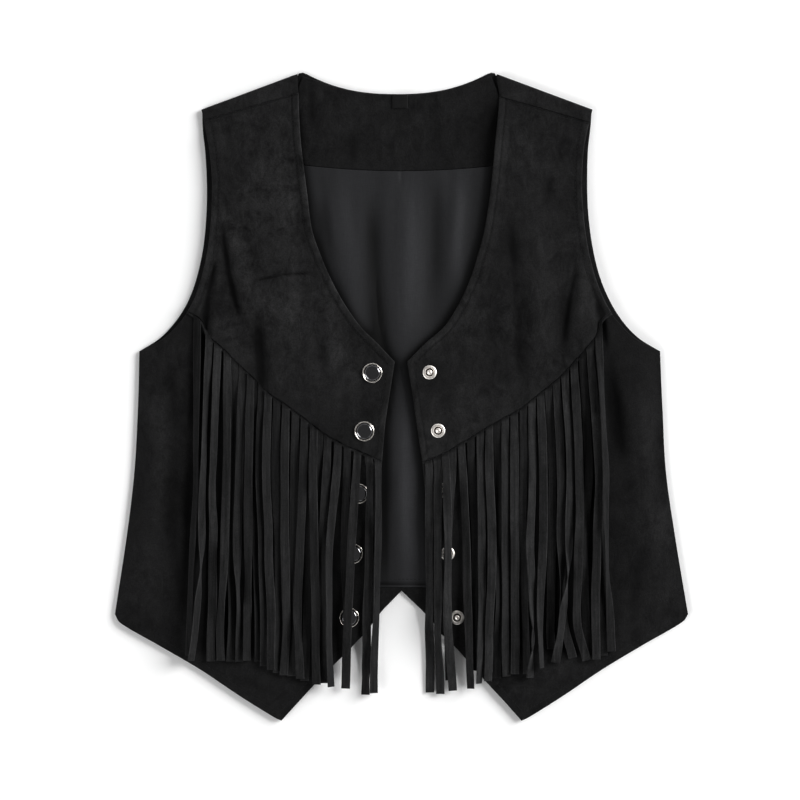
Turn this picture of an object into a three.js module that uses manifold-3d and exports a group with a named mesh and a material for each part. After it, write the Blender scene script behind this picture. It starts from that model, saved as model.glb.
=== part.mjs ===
// A western vest of black suede with a long fringe, open at the front and laid flat.
// Millimetres. +X is to the viewer's right, +Y runs up to the neck, and +Z points up from the surface.
// The origin is on the surface, under the middle of the vest's outline.
// Left and right are the viewer's. Most tables give distances from the middle line for both sides.
import * as THREE from "three";
import { mergeVertices } from "three/addons/utils/BufferGeometryUtils.js";
import Module from "manifold-3d";

const wasm = await Module();
wasm.setup();

// Cloth thicknesses, and the gap between pieces at a seam or where one lies on another.
const BACK_THICK = 1.4;
const INNER_THICK = 1.0;
const FRONT_THICK = 1.5;
const HEADING_THICK = 1.4;
const STRAND_THICK = 1.0;
const GAP = 0.3;
const SEAM_GAP = 0.35;

// Heights of the middle of each layer: the back on the surface, the facings and lining on it, then the fronts.
const BACK_LEVEL = BACK_THICK / 2;
const INNER_LEVEL = BACK_THICK + GAP + INNER_THICK / 2;
const FRONT_LEVEL = BACK_THICK + INNER_THICK + 2 * GAP + FRONT_THICK / 2;

// How far the fronts stand off the inside, as loose cloth does.
const BODY_LIFT = 1.0;
const ARMHOLE_LIFT = 2.5;
const OPENING_LIFT = 1.2;
const SEAM_LIFT = 1.5;
const SIDE_DROP = INNER_THICK + GAP;

// How much of a yoke or lower front each lift takes up, as a share of its width or height.
const YOKE_REACH = { shoulder: 0.12, armhole: 0.2, opening: 0.15, seam: 0.1 };
const LOWER_REACH = { side: 0.1, opening: 0.1, hem: 0.15 };

// Turns rows of numbers into records with named columns.
function table(columns, rows) {
  return rows.map((row) => Object.fromEntries(columns.map((name, i) => [name, row[i]])));
}

// Shoulders run straight from the armhole to the neck, and the back folds over them.
const SHOULDER = table(["left", "right", "y"], [
  [177, 169, 253.3],
  [87.2, 79.2, 286.7],
]);

// The seam on the front where the folded back meets the yoke.
const FORWARD_SEAM = table(["left", "leftY", "right", "rightY"], [
  [175.2, 243.6, 166, 241.5],
  [131.4, 255.9, 116.4, 255.9],
  [90.8, 267.9, 86.4, 264.2],
]);

// The back's armhole, and how far inside it the front's edge lies.
const ARMHOLE = table(["left", "right", "y", "inset"], [
  [177, 169, 253.3, 1],
  [175.8, 167, 236, 2.5],
  [173.8, 165, 218, 4],
  [172.2, 164.3, 191, 5],
  [172.4, 165, 165, 4.8],
  [175, 168.7, 134, 4.6],
  [180.5, 175, 107, 4.6],
  [188.2, 184, 85, 5],
  [199, 195, 67, 5],
  [213.3, 209.6, 51.5, 4],
  [231.9, 228.8, 39.6, 0.5],
]);

const SIDE = table(["left", "right", "y"], [
  [231.9, 228.8, 39.6],
  [233, 230.8, -12],
  [235.9, 233.6, -65],
  [242, 240.9, -118],
  [253.3, 253.3, -192.8],
]);

// The hem from the side seam to the point, and from the point to the notch at the middle of the back.
const HEM_OUTER = table(["out", "left", "right"], [
  [253.3, -192.8, -192.8],
  [249, -200, -199],
  [215, -219.8, -218.8],
  [178, -241.4, -241],
  [143, -264.8, -264.6],
  [112, -284, -284],
  [106, -286.6, -286.7],
]);
const HEM_INNER = table(["out", "left", "right"], [
  [106, -286.6, -286.7],
  [94, -273.4, -273.2],
  [72, -249.6, -249.3],
  [45, -222.8, -219],
  [30, -207, -202.5],
  [19, -192, -190.3],
  [8, -180.4, -179.8],
  [0, -172, -172],
]);

// The front's neckline, its straight edge below the corner, and the slanting seam that holds the fringe.
const FRONT_NECK = table(["left", "right", "y"], [
  [90.5, 85.7, 252],
  [88.8, 82.8, 225],
  [86.4, 81, 204],
  [83.2, 78.3, 179],
  [78.9, 73.3, 147],
  [70.8, 67, 123],
  [61.5, 60.2, 102],
  [50, 50.6, 81],
  [35.8, 37.5, 61],
  [21.7, 21.5, 47],
  [5.9, 4.9, 30.3],
]);
const FRONT_EDGE = table(["left", "right", "y"], [
  [5.9, 4.9, 30.3],
  [10, 9.3, 4],
  [14.1, 13.2, -23],
  [17.1, 18.4, -57.8],
  [23.6, 24.7, -130],
  [30.5, 31.4, -207],
]);
const YOKE_SEAM = table(["out", "left", "right"], [
  [17, -57.6, -58],
  [34, -49.8, -51.6],
  [53, -41.6, -40.6],
  [71, -31.2, -29.6],
  [87, -18.4, -20.5],
  [104, -6, -11],
  [120, 4.7, 1.5],
  [129, 14.3, 8.7],
  [143, 27.6, 21],
  [157, 41.8, 36],
  [165, 48, 46],
  [171, 54, 53.5],
  [176, 66, 67],
  [190, 76, 77],
]);

// Inside of the back: the neckline's sag, the facing's lower line, and the lining's hem.
const NECK_SAG = { y: 267.2, rise: 19.5, power: 2.4 };
const FACING_LINE = { y: 199.3, rise: 5, half: 86 };
const LINING_HEM_Y = -169;
const FACING_HALF = { left: 118, right: 112 };
const LINING_INSET = 14;
const LINING_EDGE = 0.09;
const HEM_INSET = 1;
const FOLD_ROOM = 3;

// Folds: a soft ridge, or a trough where the rise is negative, along a line.
const FOLD_COLUMNS = ["x1", "y1", "x2", "y2", "width", "rise"];
const FRONT_FOLDS = {
  left: table(FOLD_COLUMNS, [
    [-160, 146, -146, 72, 7, -1.6],
    [-165, 120, -176, 48, 5, -1.6],
    [-152, 150, -134, 70, 9, 1.2],
    [-129, 72, -124, 0, 7, -1.4],
    [-110, 190, -100, 60, 16, 1.4],
    [-72, 130, -52, -20, 12, 1.0],
    [-214, 20, -224, -170, 14, 1.6],
    [-200, -10, -206, -150, 8, -1.0],
  ]),
  right: table(FOLD_COLUMNS, [
    [92, 148, 102, 112, 7, -1.2],
    [156, 118, 166, 40, 12, 2.2],
    [145, 102, 139, 28, 7, -1.4],
    [170, 92, 179, 50, 4, -1.8],
    [104, 118, 106, -10, 7, -1.2],
    [120, 180, 124, 20, 14, 1.4],
    [60, 90, 46, -30, 12, 1.0],
    [181, 48, 186, -60, 7, -1.2],
    [214, 16, 222, -170, 14, 1.6],
  ]),
};
const LINING_FOLDS = table(FOLD_COLUMNS, [
  [-34, 190, -22, -20, 11, 1.8],
  [20, 186, 14, 0, 13, 1.5],
  [52, 196, 36, 90, 8, 1.2],
  [-60, 190, -48, 120, 7, 1.1],
  [-6, -40, -3, -160, 7, 1.0],
]);

// Strands of the fringe: where each is rooted on the seam, its distance out at three heights and at its tip,
// and whether it was laid first (0) or lies over its neighbours (1).
const STRAND_HEIGHTS = { high: -65, middle: -136, low: -200 };
const STRAND_WIDTH = 7.2;
const HEADING_WIDE = 4.5;
const RING_STEP = 16;
const ROOT_DROP = 3;
const STRAND_COLUMNS = ["root", "high", "middle", "low", "tip", "tipY", "laid"];
const STRANDS = {
  left: table(STRAND_COLUMNS, [
    [180, 181, 184, 186.5, 188, -229, 0],
    [169.5, 174.5, 176, 180.5, 185.5, -233, 1],
    [162, 166, 166.5, 167, 168.5, -234, 1],
    [153.5, 154, 156, 159, 159.5, -233, 1],
    [146.5, 149.5, 150, 149.5, 151, -234, 0],
    [140, 143, 144.5, 143, 143.5, -234, 1],
    [133, 134.5, 135, 135.5, 136.5, -233, 1],
    [127, 128.5, 128, 126, 126, -234, 0],
    [123, 125, 122.5, 121, 121, -238, 0],
    [117.5, 119, 116.5, 114.5, 115, -241, 1],
    [110, 111, 108.5, 107.5, 109.5, -244, 0],
    [102, 103, 102.5, 101.5, 103, -246, 1],
    [93.5, 94.5, 95.5, 97, 97, -247, 0],
    [85.5, 86.5, 89.5, 91.5, 89, -249, 1],
    [80.5, 82.5, 84.5, 83, 85.5, -251, 0],
    [77, 78, 76.5, 75.5, 75, -254, 1],
    [71.5, 73.5, 72, 71, 72, -252, 0],
    [65, 66, 69.5, 68.5, 68, -253, 0],
    [56, 57, 63.5, 63.5, 62, -256, 1],
    [47.5, 48, 47, 48, 49.5, -258, 1],
    [38.5, 38.5, 42.5, 44.5, 46.5, -248, 0],
    [29.5, 29.5, 28, 30.5, 31.5, -264, 1],
    [21, 20.5, 20, 22.5, 24, -262, 1],
  ]),
  right: table(STRAND_COLUMNS, [
    [23.5, 24.5, 24.5, 25, 25.5, -262, 1],
    [31, 32, 32, 32.5, 34, -263, 1],
    [38.5, 39.5, 41, 40.5, 45.5, -260, 1],
    [45, 45, 41.5, 41, 42.5, -251, 0],
    [52.5, 54, 57.5, 58.5, 61.5, -258, 1],
    [61, 62, 65.5, 63.5, 63.5, -242, 0],
    [69.5, 70, 71, 70, 68.5, -253, 1],
    [77.5, 77.5, 80, 77.5, 76, -251, 1],
    [84.5, 84.5, 85.5, 85, 84, -249, 0],
    [91.5, 91.5, 91.5, 92, 92.5, -247, 1],
    [99.5, 99.5, 99.5, 100.5, 100, -245, 1],
    [107.5, 107.5, 106.5, 109.5, 111, -245, 0],
    [115, 115.5, 113.5, 115.5, 113.5, -248, 1],
    [122.5, 125, 124.5, 121.5, 124, -239, 1],
    [129.5, 133, 132.5, 131.5, 132.5, -223, 0],
    [136.5, 140.5, 140.5, 144, 151, -231, 0],
    [144, 148.5, 147, 141.5, 135.5, -235, 1],
    [152, 156.5, 156, 155, 162.5, -233, 1],
    [159.5, 165, 161.5, 162.5, 166, -231, 0],
    [166, 173.5, 171.5, 171, 171.5, -232, 1],
    [170, 175.5, 175, 176, 178, -229, 0],
    [173.5, 179, 180.5, 183.5, 185.5, -225, 1],
  ]),
};

// Snaps: the caps are on the left front and the studs on the right, each pair a little further out.
const SNAPS = table(["cap", "capY", "stud", "studY"], [
  [25.7, 20.5, 24.8, 21],
  [32.7, -31, 32.3, -30.5],
  [37.2, -86, 36.4, -83],
  [42.5, -139, 40.7, -139],
  [46, -195.4, 49, -195.4],
]);
const TURNED_SIDES = 22;
// The turned outlines run from the middle of the underside to that of the top, as shares of radius and height.
const SNAP_KINDS = {
  left: {
    name: "cap",
    radius: 8.8,
    high: 2.6,
    profile: table(["reach", "height"], [
      [0, 0],
      [0.93, 0],
      [1, 0.35],
      [0.93, 0.7],
      [0.8, 0.6],
      [0.5, 0.93],
      [0, 1],
    ]),
  },
  right: {
    name: "stud",
    radius: 6.4,
    high: 2.8,
    profile: table(["reach", "height"], [
      [0, 0],
      [0.95, 0],
      [1, 0.25],
      [0.9, 0.42],
      [0.42, 0.42],
      [0.38, 1],
      [0.2, 1],
      [0.16, 0.55],
      [0, 0.55],
    ]),
  },
};

const LABEL = { x: -1.3, y: 260.4, wide: 14, tall: 12.4, thick: 1 };

// How many cells each panel has across and down.
const BACK_CELLS = { shoulder: 6, neck: 10, armhole: 9, side: 6 };
const SEAM_CELLS = 14;
const YOKE_CELLS = { neck: 10, opening: 3 };
const LOWER_CELLS = { armhole: 4, down: 11 };
const LINING_CELLS = { across: 24, armhole: 7, side: 7 };
const FACING_CELLS = { across: 16, down: 4 };
const HEM_FACING_CELLS = { across: 12, down: 3 };
const FOLD_STEPS = 4;
const SEAM_SAMPLES = 60;
const LINE_STEPS = 60;
const REST_SAMPLES = 4;
const CELL_REACH = 60;
// The share of half a hem's cells that lie outside its point, and of a fold's length over which it fades.
const HEM_SHARE = 0.6;
const FOLD_FADE = 0.35;
// Strands that hang past the hem end this far above the surface, with the gap on top.
const TIP_REST = 0.2;

const SIDES = { left: -1, right: 1 };
const UP = new THREE.Vector3(0, 0, 1);

// Reads a smooth line through pairs of place and value. The places rise along the list.
function smoothAt(pairs, place) {
  const last = pairs.length - 1;
  let i = 0;
  while (i < last - 1 && place > pairs[i + 1][0]) i += 1;
  const slope = (k) => {
    const before = pairs[Math.max(k - 1, 0)];
    const after = pairs[Math.min(k + 1, last)];
    return (after[1] - before[1]) / (after[0] - before[0]);
  };
  const [start, from] = pairs[i];
  const [end, to] = pairs[i + 1];
  const span = end - start;
  const t = Math.min(Math.max((place - start) / span, 0), 1);
  const rise = (3 - 2 * t) * t * t;
  const bend = t * (1 - t) * span;
  return from + (to - from) * rise + bend * ((1 - t) * slope(i) - t * slope(i + 1));
}

// Smoothly rises from 0 to 1 between two values.
function ramp(value, low, high) {
  const t = Math.min(Math.max((value - low) / (high - low), 0), 1);
  return t * t * (3 - 2 * t);
}

// Places the given number of equal steps along a smooth line through points.
function evenly(points, steps) {
  const lengths = [0];
  points.slice(1).forEach((p, i) => {
    lengths.push(lengths[i] + Math.hypot(p.x - points[i].x, p.y - points[i].y));
  });
  const alongX = points.map((p, i) => [lengths[i], p.x]);
  const alongY = points.map((p, i) => [lengths[i], p.y]);
  const whole = lengths[lengths.length - 1];
  return Array.from({ length: steps + 1 }, (_, i) => {
    const at = (whole * i) / steps;
    return { x: smoothAt(alongX, at), y: smoothAt(alongY, at) };
  });
}

// Joins lines that share their end points.
function chain(...lines) {
  return lines.flatMap((line, i) => (i ? line.slice(1) : line));
}

// Fills the space between four edges with rows of points, from the top edge down.
function patch(top, bottom, first, last) {
  const across = top.length - 1;
  const down = first.length - 1;
  const mix = (a, b, t) => a + (b - a) * t;
  return first.map((start, row) => {
    const v = row / down;
    return top.map((head, column) => {
      const u = column / across;
      const point = { u, v };
      for (const axis of ["x", "y"]) {
        const ruled = mix(head[axis], bottom[column][axis], v) + mix(start[axis], last[row][axis], u);
        const corners = mix(
          mix(top[0][axis], top[across][axis], u),
          mix(bottom[0][axis], bottom[across][axis], u),
          v,
        );
        point[axis] = ruled - corners;
      }
      return point;
    });
  });
}

// How high the folds of a table raise the cloth at one place.
function foldsAt(folds, x, y) {
  let height = 0;
  for (const fold of folds) {
    const runX = fold.x2 - fold.x1;
    const runY = fold.y2 - fold.y1;
    const length = Math.hypot(runX, runY);
    const along = ((x - fold.x1) * runX + (y - fold.y1) * runY) / length;
    const aside = ((x - fold.x1) * runY - (y - fold.y1) * runX) / length;
    const start = ramp(along, -fold.width, length * FOLD_FADE);
    const end = 1 - ramp(along, length * (1 - FOLD_FADE), length + fold.width);
    height += fold.rise * start * end * Math.exp(-((aside / fold.width) ** 2));
  }
  return height;
}

// A sheet of cloth as points with a height and a direction, and the cells between them.
function sheetOf(rows, thick, heightAt) {
  const sheet = { points: [], cells: [], thick };
  const indices = rows.map((row) =>
    row.map((p) => sheet.points.push({ x: p.x, y: p.y, z: heightAt(p), out: UP }) - 1),
  );
  addCells(sheet, indices);
  return { sheet, indices };
}

// Adds the cells between rows of point numbers, the upper row first.
function addCells(sheet, indices) {
  for (let row = 1; row < indices.length; row += 1) {
    for (let column = 1; column < indices[row].length; column += 1) {
      sheet.cells.push([
        indices[row - 1][column - 1],
        indices[row][column - 1],
        indices[row][column],
        indices[row - 1][column],
      ]);
    }
  }
}

// Makes a closed geometry from positions and triangles, with its faces turned outwards.
function closedGeometry(positions, triangles) {
  let volume = 0;
  const corner = (i) => new THREE.Vector3().fromArray(positions, 3 * i);
  for (const [a, b, c] of triangles) volume += corner(a).dot(corner(b).cross(corner(c)));
  const facing = volume < 0 ? triangles.map(([a, b, c]) => [a, c, b]) : triangles;
  const geometry = new THREE.BufferGeometry();
  geometry.setAttribute("position", new THREE.Float32BufferAttribute(positions, 3));
  geometry.setIndex(facing.flat());
  geometry.computeVertexNormals();
  return geometry;
}

// Gives a sheet its thickness: two faces, and a band round every open edge.
function wallOf(sheet) {
  const half = sheet.thick / 2;
  const positions = [];
  for (const side of [half, -half]) {
    for (const p of sheet.points) {
      positions.push(p.x + p.out.x * side, p.y + p.out.y * side, p.z + p.out.z * side);
    }
  }
  const under = sheet.points.length;
  const triangles = [];
  const edges = new Map();
  for (const cell of sheet.cells) {
    const [a, b, c, d] = cell;
    triangles.push([a, b, c], [a, c, d], [under + a, under + c, under + b], [under + a, under + d, under + c]);
    cell.forEach((from, i) => edges.set(from + " " + cell[(i + 1) % 4], [from, cell[(i + 1) % 4]]));
  }
  for (const [from, to] of edges.values()) {
    if (edges.has(to + " " + from)) continue;
    triangles.push([under + from, under + to, to], [under + from, to, from]);
  }
  return closedGeometry(positions, triangles);
}

// The height of the top of the sheets at one place, or the surface they lie on.
function topAt(sheets, x, y) {
  let height = 0;
  for (const sheet of sheets) {
    for (const [a, b, c, d] of sheet.cells) {
      const corner = sheet.points[a];
      if (Math.abs(corner.x - x) > CELL_REACH || Math.abs(corner.y - y) > CELL_REACH) continue;
      for (const corners of [[a, b, c], [a, c, d]]) {
        const [p, q, r] = corners.map((i) => sheet.points[i]);
        const area = (q.x - p.x) * (r.y - p.y) - (r.x - p.x) * (q.y - p.y);
        const s = ((x - p.x) * (r.y - p.y) - (r.x - p.x) * (y - p.y)) / area;
        const t = ((q.x - p.x) * (y - p.y) - (x - p.x) * (q.y - p.y)) / area;
        if (s < 0 || t < 0 || s + t > 1) continue;
        height = Math.max(height, p.z + s * (q.z - p.z) + t * (r.z - p.z) + sheet.thick / 2);
      }
    }
  }
  return height;
}

// Joins rings of equal length into one closed body with flat ends.
function loft(rings) {
  const sides = rings[0].length;
  const triangles = [];
  for (let ring = 1; ring < rings.length; ring += 1) {
    for (let i = 0; i < sides; i += 1) {
      const next = (i + 1) % sides;
      const [a, b] = [(ring - 1) * sides + i, (ring - 1) * sides + next];
      const [c, d] = [ring * sides + next, ring * sides + i];
      triangles.push([a, b, c], [a, c, d]);
    }
  }
  const end = (rings.length - 1) * sides;
  for (let i = 1; i < sides - 1; i += 1) {
    triangles.push([0, i + 1, i], [end, end + i, end + i + 1]);
  }
  return closedGeometry(rings.flat(2), triangles);
}

// Turns a geometry into a solid that can be joined, and back.
function solidOf(geometry) {
  const bare = geometry.clone();
  bare.deleteAttribute("normal");
  bare.deleteAttribute("uv");
  const merged = mergeVertices(bare);
  return new wasm.Manifold(
    new wasm.Mesh({
      numProp: 3,
      vertProperties: new Float32Array(merged.attributes.position.array),
      triVerts: new Uint32Array(merged.index.array),
    }),
  );
}
function geometryOf(solid) {
  const mesh = solid.getMesh();
  const geometry = new THREE.BufferGeometry();
  geometry.setAttribute("position", new THREE.BufferAttribute(mesh.vertProperties, 3));
  geometry.setIndex(new THREE.BufferAttribute(mesh.triVerts, 1));
  geometry.computeVertexNormals();
  return geometry;
}

// Edge lines of one side, as points.
function edgeOf(rows, side) {
  return rows.map((row) => ({ x: SIDES[side] * row[side], y: row.y }));
}
function hemOf(rows, side) {
  return rows.map((row) => ({ x: SIDES[side] * row.out, y: row[side] }));
}
function forwardSeamOf(side) {
  return FORWARD_SEAM.map((row) => ({ x: SIDES[side] * row[side], y: row[side + "Y"] }));
}
function frontArmholeOf(side) {
  const start = forwardSeamOf(side)[0];
  const rest = ARMHOLE.slice(1).map((row) => ({ x: SIDES[side] * (row[side] - row.inset), y: row.y }));
  return [start, ...rest.filter((p) => p.y < start.y - GAP)];
}

// The height of the fringe's seam at a distance out from the middle line.
function seamAt(side, out) {
  return smoothAt(YOKE_SEAM.map((row) => [row.out, row[side]]), out);
}

// A point the given distance below the fringe's seam, square to it.
function belowSeam(side, out, below) {
  const slope = seamAt(side, out + 0.5) - seamAt(side, out - 0.5);
  const length = Math.hypot(slope, 1);
  return {
    x: SIDES[side] * (out + (below * slope) / length),
    y: seamAt(side, out) - below / length,
  };
}

// Distances out that part the fringe's seam evenly, from the armhole to the opening.
function seamPlaces(side) {
  const from = Math.abs(yokeCornerOf(side).x);
  const to = Math.abs(seamEndOf(side).x);
  const points = Array.from({ length: SEAM_SAMPLES + 1 }, (_, i) =>
    belowSeam(side, from + ((to - from) * i) / SEAM_SAMPLES, 0),
  );
  return evenly(points, SEAM_CELLS).map((p) => Math.abs(p.x));
}

// The fringe's seam from the armhole to the opening, or a line the given distance below it.
function yokeSeamOf(side, below) {
  return seamPlaces(side).map((out) => belowSeam(side, out, below));
}

// Where the fringe's seam meets the front's armhole, and where it meets the opening.
function yokeCornerOf(side) {
  const armhole = evenly(frontArmholeOf(side), 4 * SEAM_SAMPLES);
  const reached = armhole.find((p) => p.y < seamAt(side, Math.abs(p.x)));
  return { x: reached.x, y: seamAt(side, Math.abs(reached.x)) };
}
function seamEndOf(side) {
  const edge = edgeOf(FRONT_EDGE, side);
  return { x: edge[3].x, y: seamAt(side, Math.abs(edge[3].x)) };
}

// Cuts a line where it passes a corner, into the part before it and the part after it.
function splitAtCorner(line, corner) {
  const before = line.filter((p) => p.y > corner.y);
  const after = line.filter((p) => p.y < corner.y);
  return [[...before, corner], [corner, ...after]];
}

// Moves a line up by the given distance.
function raised(points, rise) {
  return points.map((p) => ({ x: p.x, y: p.y + rise }));
}

// How the fronts' folds and lifts raise them, in common to the yoke and the lower front.
function frontHeight(side, p) {
  return FRONT_LEVEL + Math.max(foldsAt(FRONT_FOLDS[side], p.x, p.y) + BODY_LIFT, 0);
}

function yokeSheet(side) {
  const corner = yokeCornerOf(side);
  const down = YOKE_CELLS.neck + YOKE_CELLS.opening;
  const [armhole] = splitAtCorner(frontArmholeOf(side), corner);
  const shoulder = forwardSeamOf(side);
  const neck = evenly([shoulder[2], ...edgeOf(FRONT_NECK, side)], YOKE_CELLS.neck);
  const opening = evenly([...edgeOf(FRONT_EDGE.slice(0, 3), side), seamEndOf(side)], YOKE_CELLS.opening);
  const rows = patch(
    evenly(shoulder, SEAM_CELLS),
    yokeSeamOf(side, 0),
    evenly(armhole, down),
    chain(neck, opening),
  );
  const heightAt = (p) => {
    const loose = ramp(p.v, 0, YOKE_REACH.shoulder);
    const armholeLift = ARMHOLE_LIFT * (1 - ramp(p.u, 0, YOKE_REACH.armhole)) * Math.sin(Math.PI * p.v);
    const openingLift = OPENING_LIFT * ramp(p.u, 1 - YOKE_REACH.opening, 1);
    const seamLift = SEAM_LIFT * ramp(p.v, 1 - YOKE_REACH.seam, 1);
    const flat = FRONT_LEVEL + loose * (frontHeight(side, p) - FRONT_LEVEL);
    return flat + loose * (armholeLift + openingLift) + seamLift;
  };
  return sheetOf(rows, FRONT_THICK, heightAt).sheet;
}

function lowerSheet(side) {
  const corner = yokeCornerOf(side);
  const [, armhole] = splitAtCorner(frontArmholeOf(side), corner);
  const across = LOWER_CELLS.armhole + SEAM_CELLS;
  const outerHem = Math.round(across * HEM_SHARE);
  const seam = yokeSeamOf(side, SEAM_GAP);
  const armpit = [...armhole.slice(1).reverse(), seam[0]];
  const top = chain(evenly(armpit, LOWER_CELLS.armhole), seam);
  const opening = [top[across], ...edgeOf(FRONT_EDGE, side).slice(4)];
  const end = opening[opening.length - 1];
  const inner = hemOf(HEM_INNER, side).filter((p) => Math.abs(p.x) > Math.abs(end.x) + GAP);
  const bottom = chain(evenly(hemOf(HEM_OUTER, side), outerHem), evenly([...inner, end], across - outerHem));
  const sideSeam = [top[0], ...edgeOf(SIDE, side).slice(1)];
  const rows = patch(
    top,
    bottom,
    evenly(sideSeam, LOWER_CELLS.down),
    evenly(opening, LOWER_CELLS.down),
  );
  const heightAt = (p) => {
    const seamedSide = SIDE_DROP * (1 - ramp(p.u, 0, 1 / across));
    const aboveHem = 1 - ramp(p.v, 1 - LOWER_REACH.hem, 1);
    const openingLift = OPENING_LIFT * ramp(p.u, 1 - LOWER_REACH.opening, 1) * aboveHem;
    const edge = ramp(p.u, 0, LOWER_REACH.side) * aboveHem;
    const flat = FRONT_LEVEL + edge * (frontHeight(side, p) - FRONT_LEVEL);
    return flat + openingLift - seamedSide;
  };
  return sheetOf(rows, FRONT_THICK, heightAt).sheet;
}

// The back neckline between the two shoulders.
function neckAt(x) {
  const [left, right] = [-SHOULDER[1].left, SHOULDER[1].right];
  const middle = (left + right) / 2;
  const share = Math.abs(x - middle) / ((right - left) / 2);
  return NECK_SAG.y + NECK_SAG.rise * share ** NECK_SAG.power;
}
function facingLineAt(x) {
  return FACING_LINE.y + FACING_LINE.rise * (x / FACING_LINE.half) ** 2;
}

// Points of a formula's line between two places.
function lineOf(heightAt, from, to, steps) {
  return Array.from({ length: steps + 1 }, (_, i) => {
    const x = from + ((to - from) * i) / steps;
    return { x, y: heightAt(x) };
  });
}

// The back folds over each shoulder: rows of points round the fold and on to the forward seam.
function shoulderRows(side, outline) {
  const radius = (FRONT_LEVEL - BACK_LEVEL) / 2;
  const [outer, neck] = edgeOf(SHOULDER, side);
  const run = new THREE.Vector2(neck.x - outer.x, neck.y - outer.y).normalize();
  const outward = new THREE.Vector3(-run.y, run.x, 0).multiplyScalar(-SIDES[side]);
  const seam = evenly(forwardSeamOf(side), outline.length - 1);
  const ordered = side === "left" ? seam : [...seam].reverse();
  const rows = [];
  for (let step = 1; step <= FOLD_STEPS; step += 1) {
    const angle = (Math.PI * step) / FOLD_STEPS;
    const reach = radius * Math.sin(angle);
    const out = outward.clone().multiplyScalar(-Math.sin(angle)).setZ(Math.cos(angle));
    rows.push(outline.map((p) => ({
      x: p.x + outward.x * reach,
      y: p.y + outward.y * reach,
      z: BACK_LEVEL + radius * (1 - Math.cos(angle)),
      out,
    })));
  }
  const down = new THREE.Vector3(0, 0, -1);
  rows.push(ordered.map((p) => ({ x: p.x, y: p.y + SEAM_GAP, z: FRONT_LEVEL, out: down })));
  return rows;
}

function backSheet() {
  const fold = (FRONT_LEVEL - BACK_LEVEL) / 2 + BACK_THICK / 2;
  const shoulders = {};
  for (const side of ["left", "right"]) {
    const [outer, neck] = edgeOf(SHOULDER, side);
    const length = Math.hypot(neck.x - outer.x, neck.y - outer.y);
    const inX = (SIDES[side] * -(neck.y - outer.y) * fold) / length;
    const inY = (-Math.abs(neck.x - outer.x) * fold) / length;
    shoulders[side] = evenly(
      [outer, neck].map((p) => ({ x: p.x + inX, y: p.y + inY })),
      BACK_CELLS.shoulder,
    );
  }
  const left = shoulders.left;
  const right = [...shoulders.right].reverse();
  const [neckFrom, neckTo] = [left[left.length - 1], right[0]];
  const sag = lineOf(neckAt, neckFrom.x, neckTo.x, LINE_STEPS);
  sag[0] = neckFrom;
  sag[LINE_STEPS] = neckTo;
  const top = chain(left, evenly(sag, BACK_CELLS.neck), right);
  const flank = (side) => {
    const armhole = [shoulders[side][0], ...edgeOf(ARMHOLE, side).slice(1)];
    return chain(evenly(armhole, BACK_CELLS.armhole), evenly(edgeOf(SIDE, side), BACK_CELLS.side));
  };
  const half = (top.length - 1) / 2;
  const point = Math.round(half * HEM_SHARE);
  const hem = (side) =>
    chain(evenly(hemOf(HEM_OUTER, side), point), evenly(hemOf(HEM_INNER, side), half - point));
  const bottom = chain(hem("left"), [...hem("right")].reverse());
  const rows = patch(top, bottom, flank("left"), flank("right"));
  const { sheet, indices } = sheetOf(rows, BACK_THICK, () => BACK_LEVEL);
  const spans = { left: [0, left.length], right: [top.length - right.length, top.length] };
  for (const side of ["left", "right"]) {
    const base = indices[0].slice(...spans[side]);
    const outline = base.map((i) => sheet.points[i]);
    const added = shoulderRows(side, outline).map((row) => row.map((p) => sheet.points.push(p) - 1));
    addCells(sheet, [base, ...added].reverse());
  }
  return sheet;
}

function neckFacingSheet() {
  const [left, right] = [-FACING_HALF.left, FACING_HALF.right];
  const [neckLeft, neckRight] = [-SHOULDER[1].left, SHOULDER[1].right];
  const middle = (neckLeft + neckRight) / 2;
  const inset = (x) => HEM_INSET + FOLD_ROOM * (Math.abs(x - middle) / (neckRight - middle)) ** 8;
  const top = lineOf((x) => neckAt(x) - inset(x), neckLeft, neckRight, LINE_STEPS);
  const bottom = lineOf(facingLineAt, left, right, LINE_STEPS);
  const { across, down } = FACING_CELLS;
  const rows = patch(
    evenly(top, across),
    evenly(bottom, across),
    evenly([top[0], bottom[0]], down),
    evenly([top[LINE_STEPS], bottom[LINE_STEPS]], down),
  );
  return sheetOf(rows, INNER_THICK, () => INNER_LEVEL).sheet;
}

function liningSheet() {
  const flank = (side) => {
    const inward = (row) => ({ x: SIDES[side] * (row[side] - LINING_INSET), y: row.y });
    const armhole = ARMHOLE.slice(4).map(inward);
    const start = { x: armhole[0].x, y: facingLineAt(armhole[0].x) - SEAM_GAP };
    const seam = SIDE.slice(0, 4).map(inward);
    const endOut = smoothAt(SIDE.map((row) => [-row.y, row[side]]), -LINING_HEM_Y) - LINING_INSET;
    const end = { x: SIDES[side] * endOut, y: LINING_HEM_Y };
    return chain(evenly([start, ...armhole], LINING_CELLS.armhole), evenly([...seam, end], LINING_CELLS.side));
  };
  const [left, right] = [flank("left"), flank("right")];
  const last = left.length - 1;
  const top = lineOf((x) => facingLineAt(x) - SEAM_GAP, left[0].x, right[0].x, LINING_CELLS.across);
  const bottom = lineOf(() => LINING_HEM_Y, left[last].x, right[last].x, LINING_CELLS.across);
  const heightAt = (p) => {
    const shown = ramp(p.v, 0, LINING_EDGE) * (1 - ramp(p.v, 1 - LINING_EDGE, 1));
    return INNER_LEVEL + shown * Math.max(foldsAt(LINING_FOLDS, p.x, p.y), 0);
  };
  return sheetOf(patch(top, bottom, left, right), INNER_THICK, heightAt).sheet;
}

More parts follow.
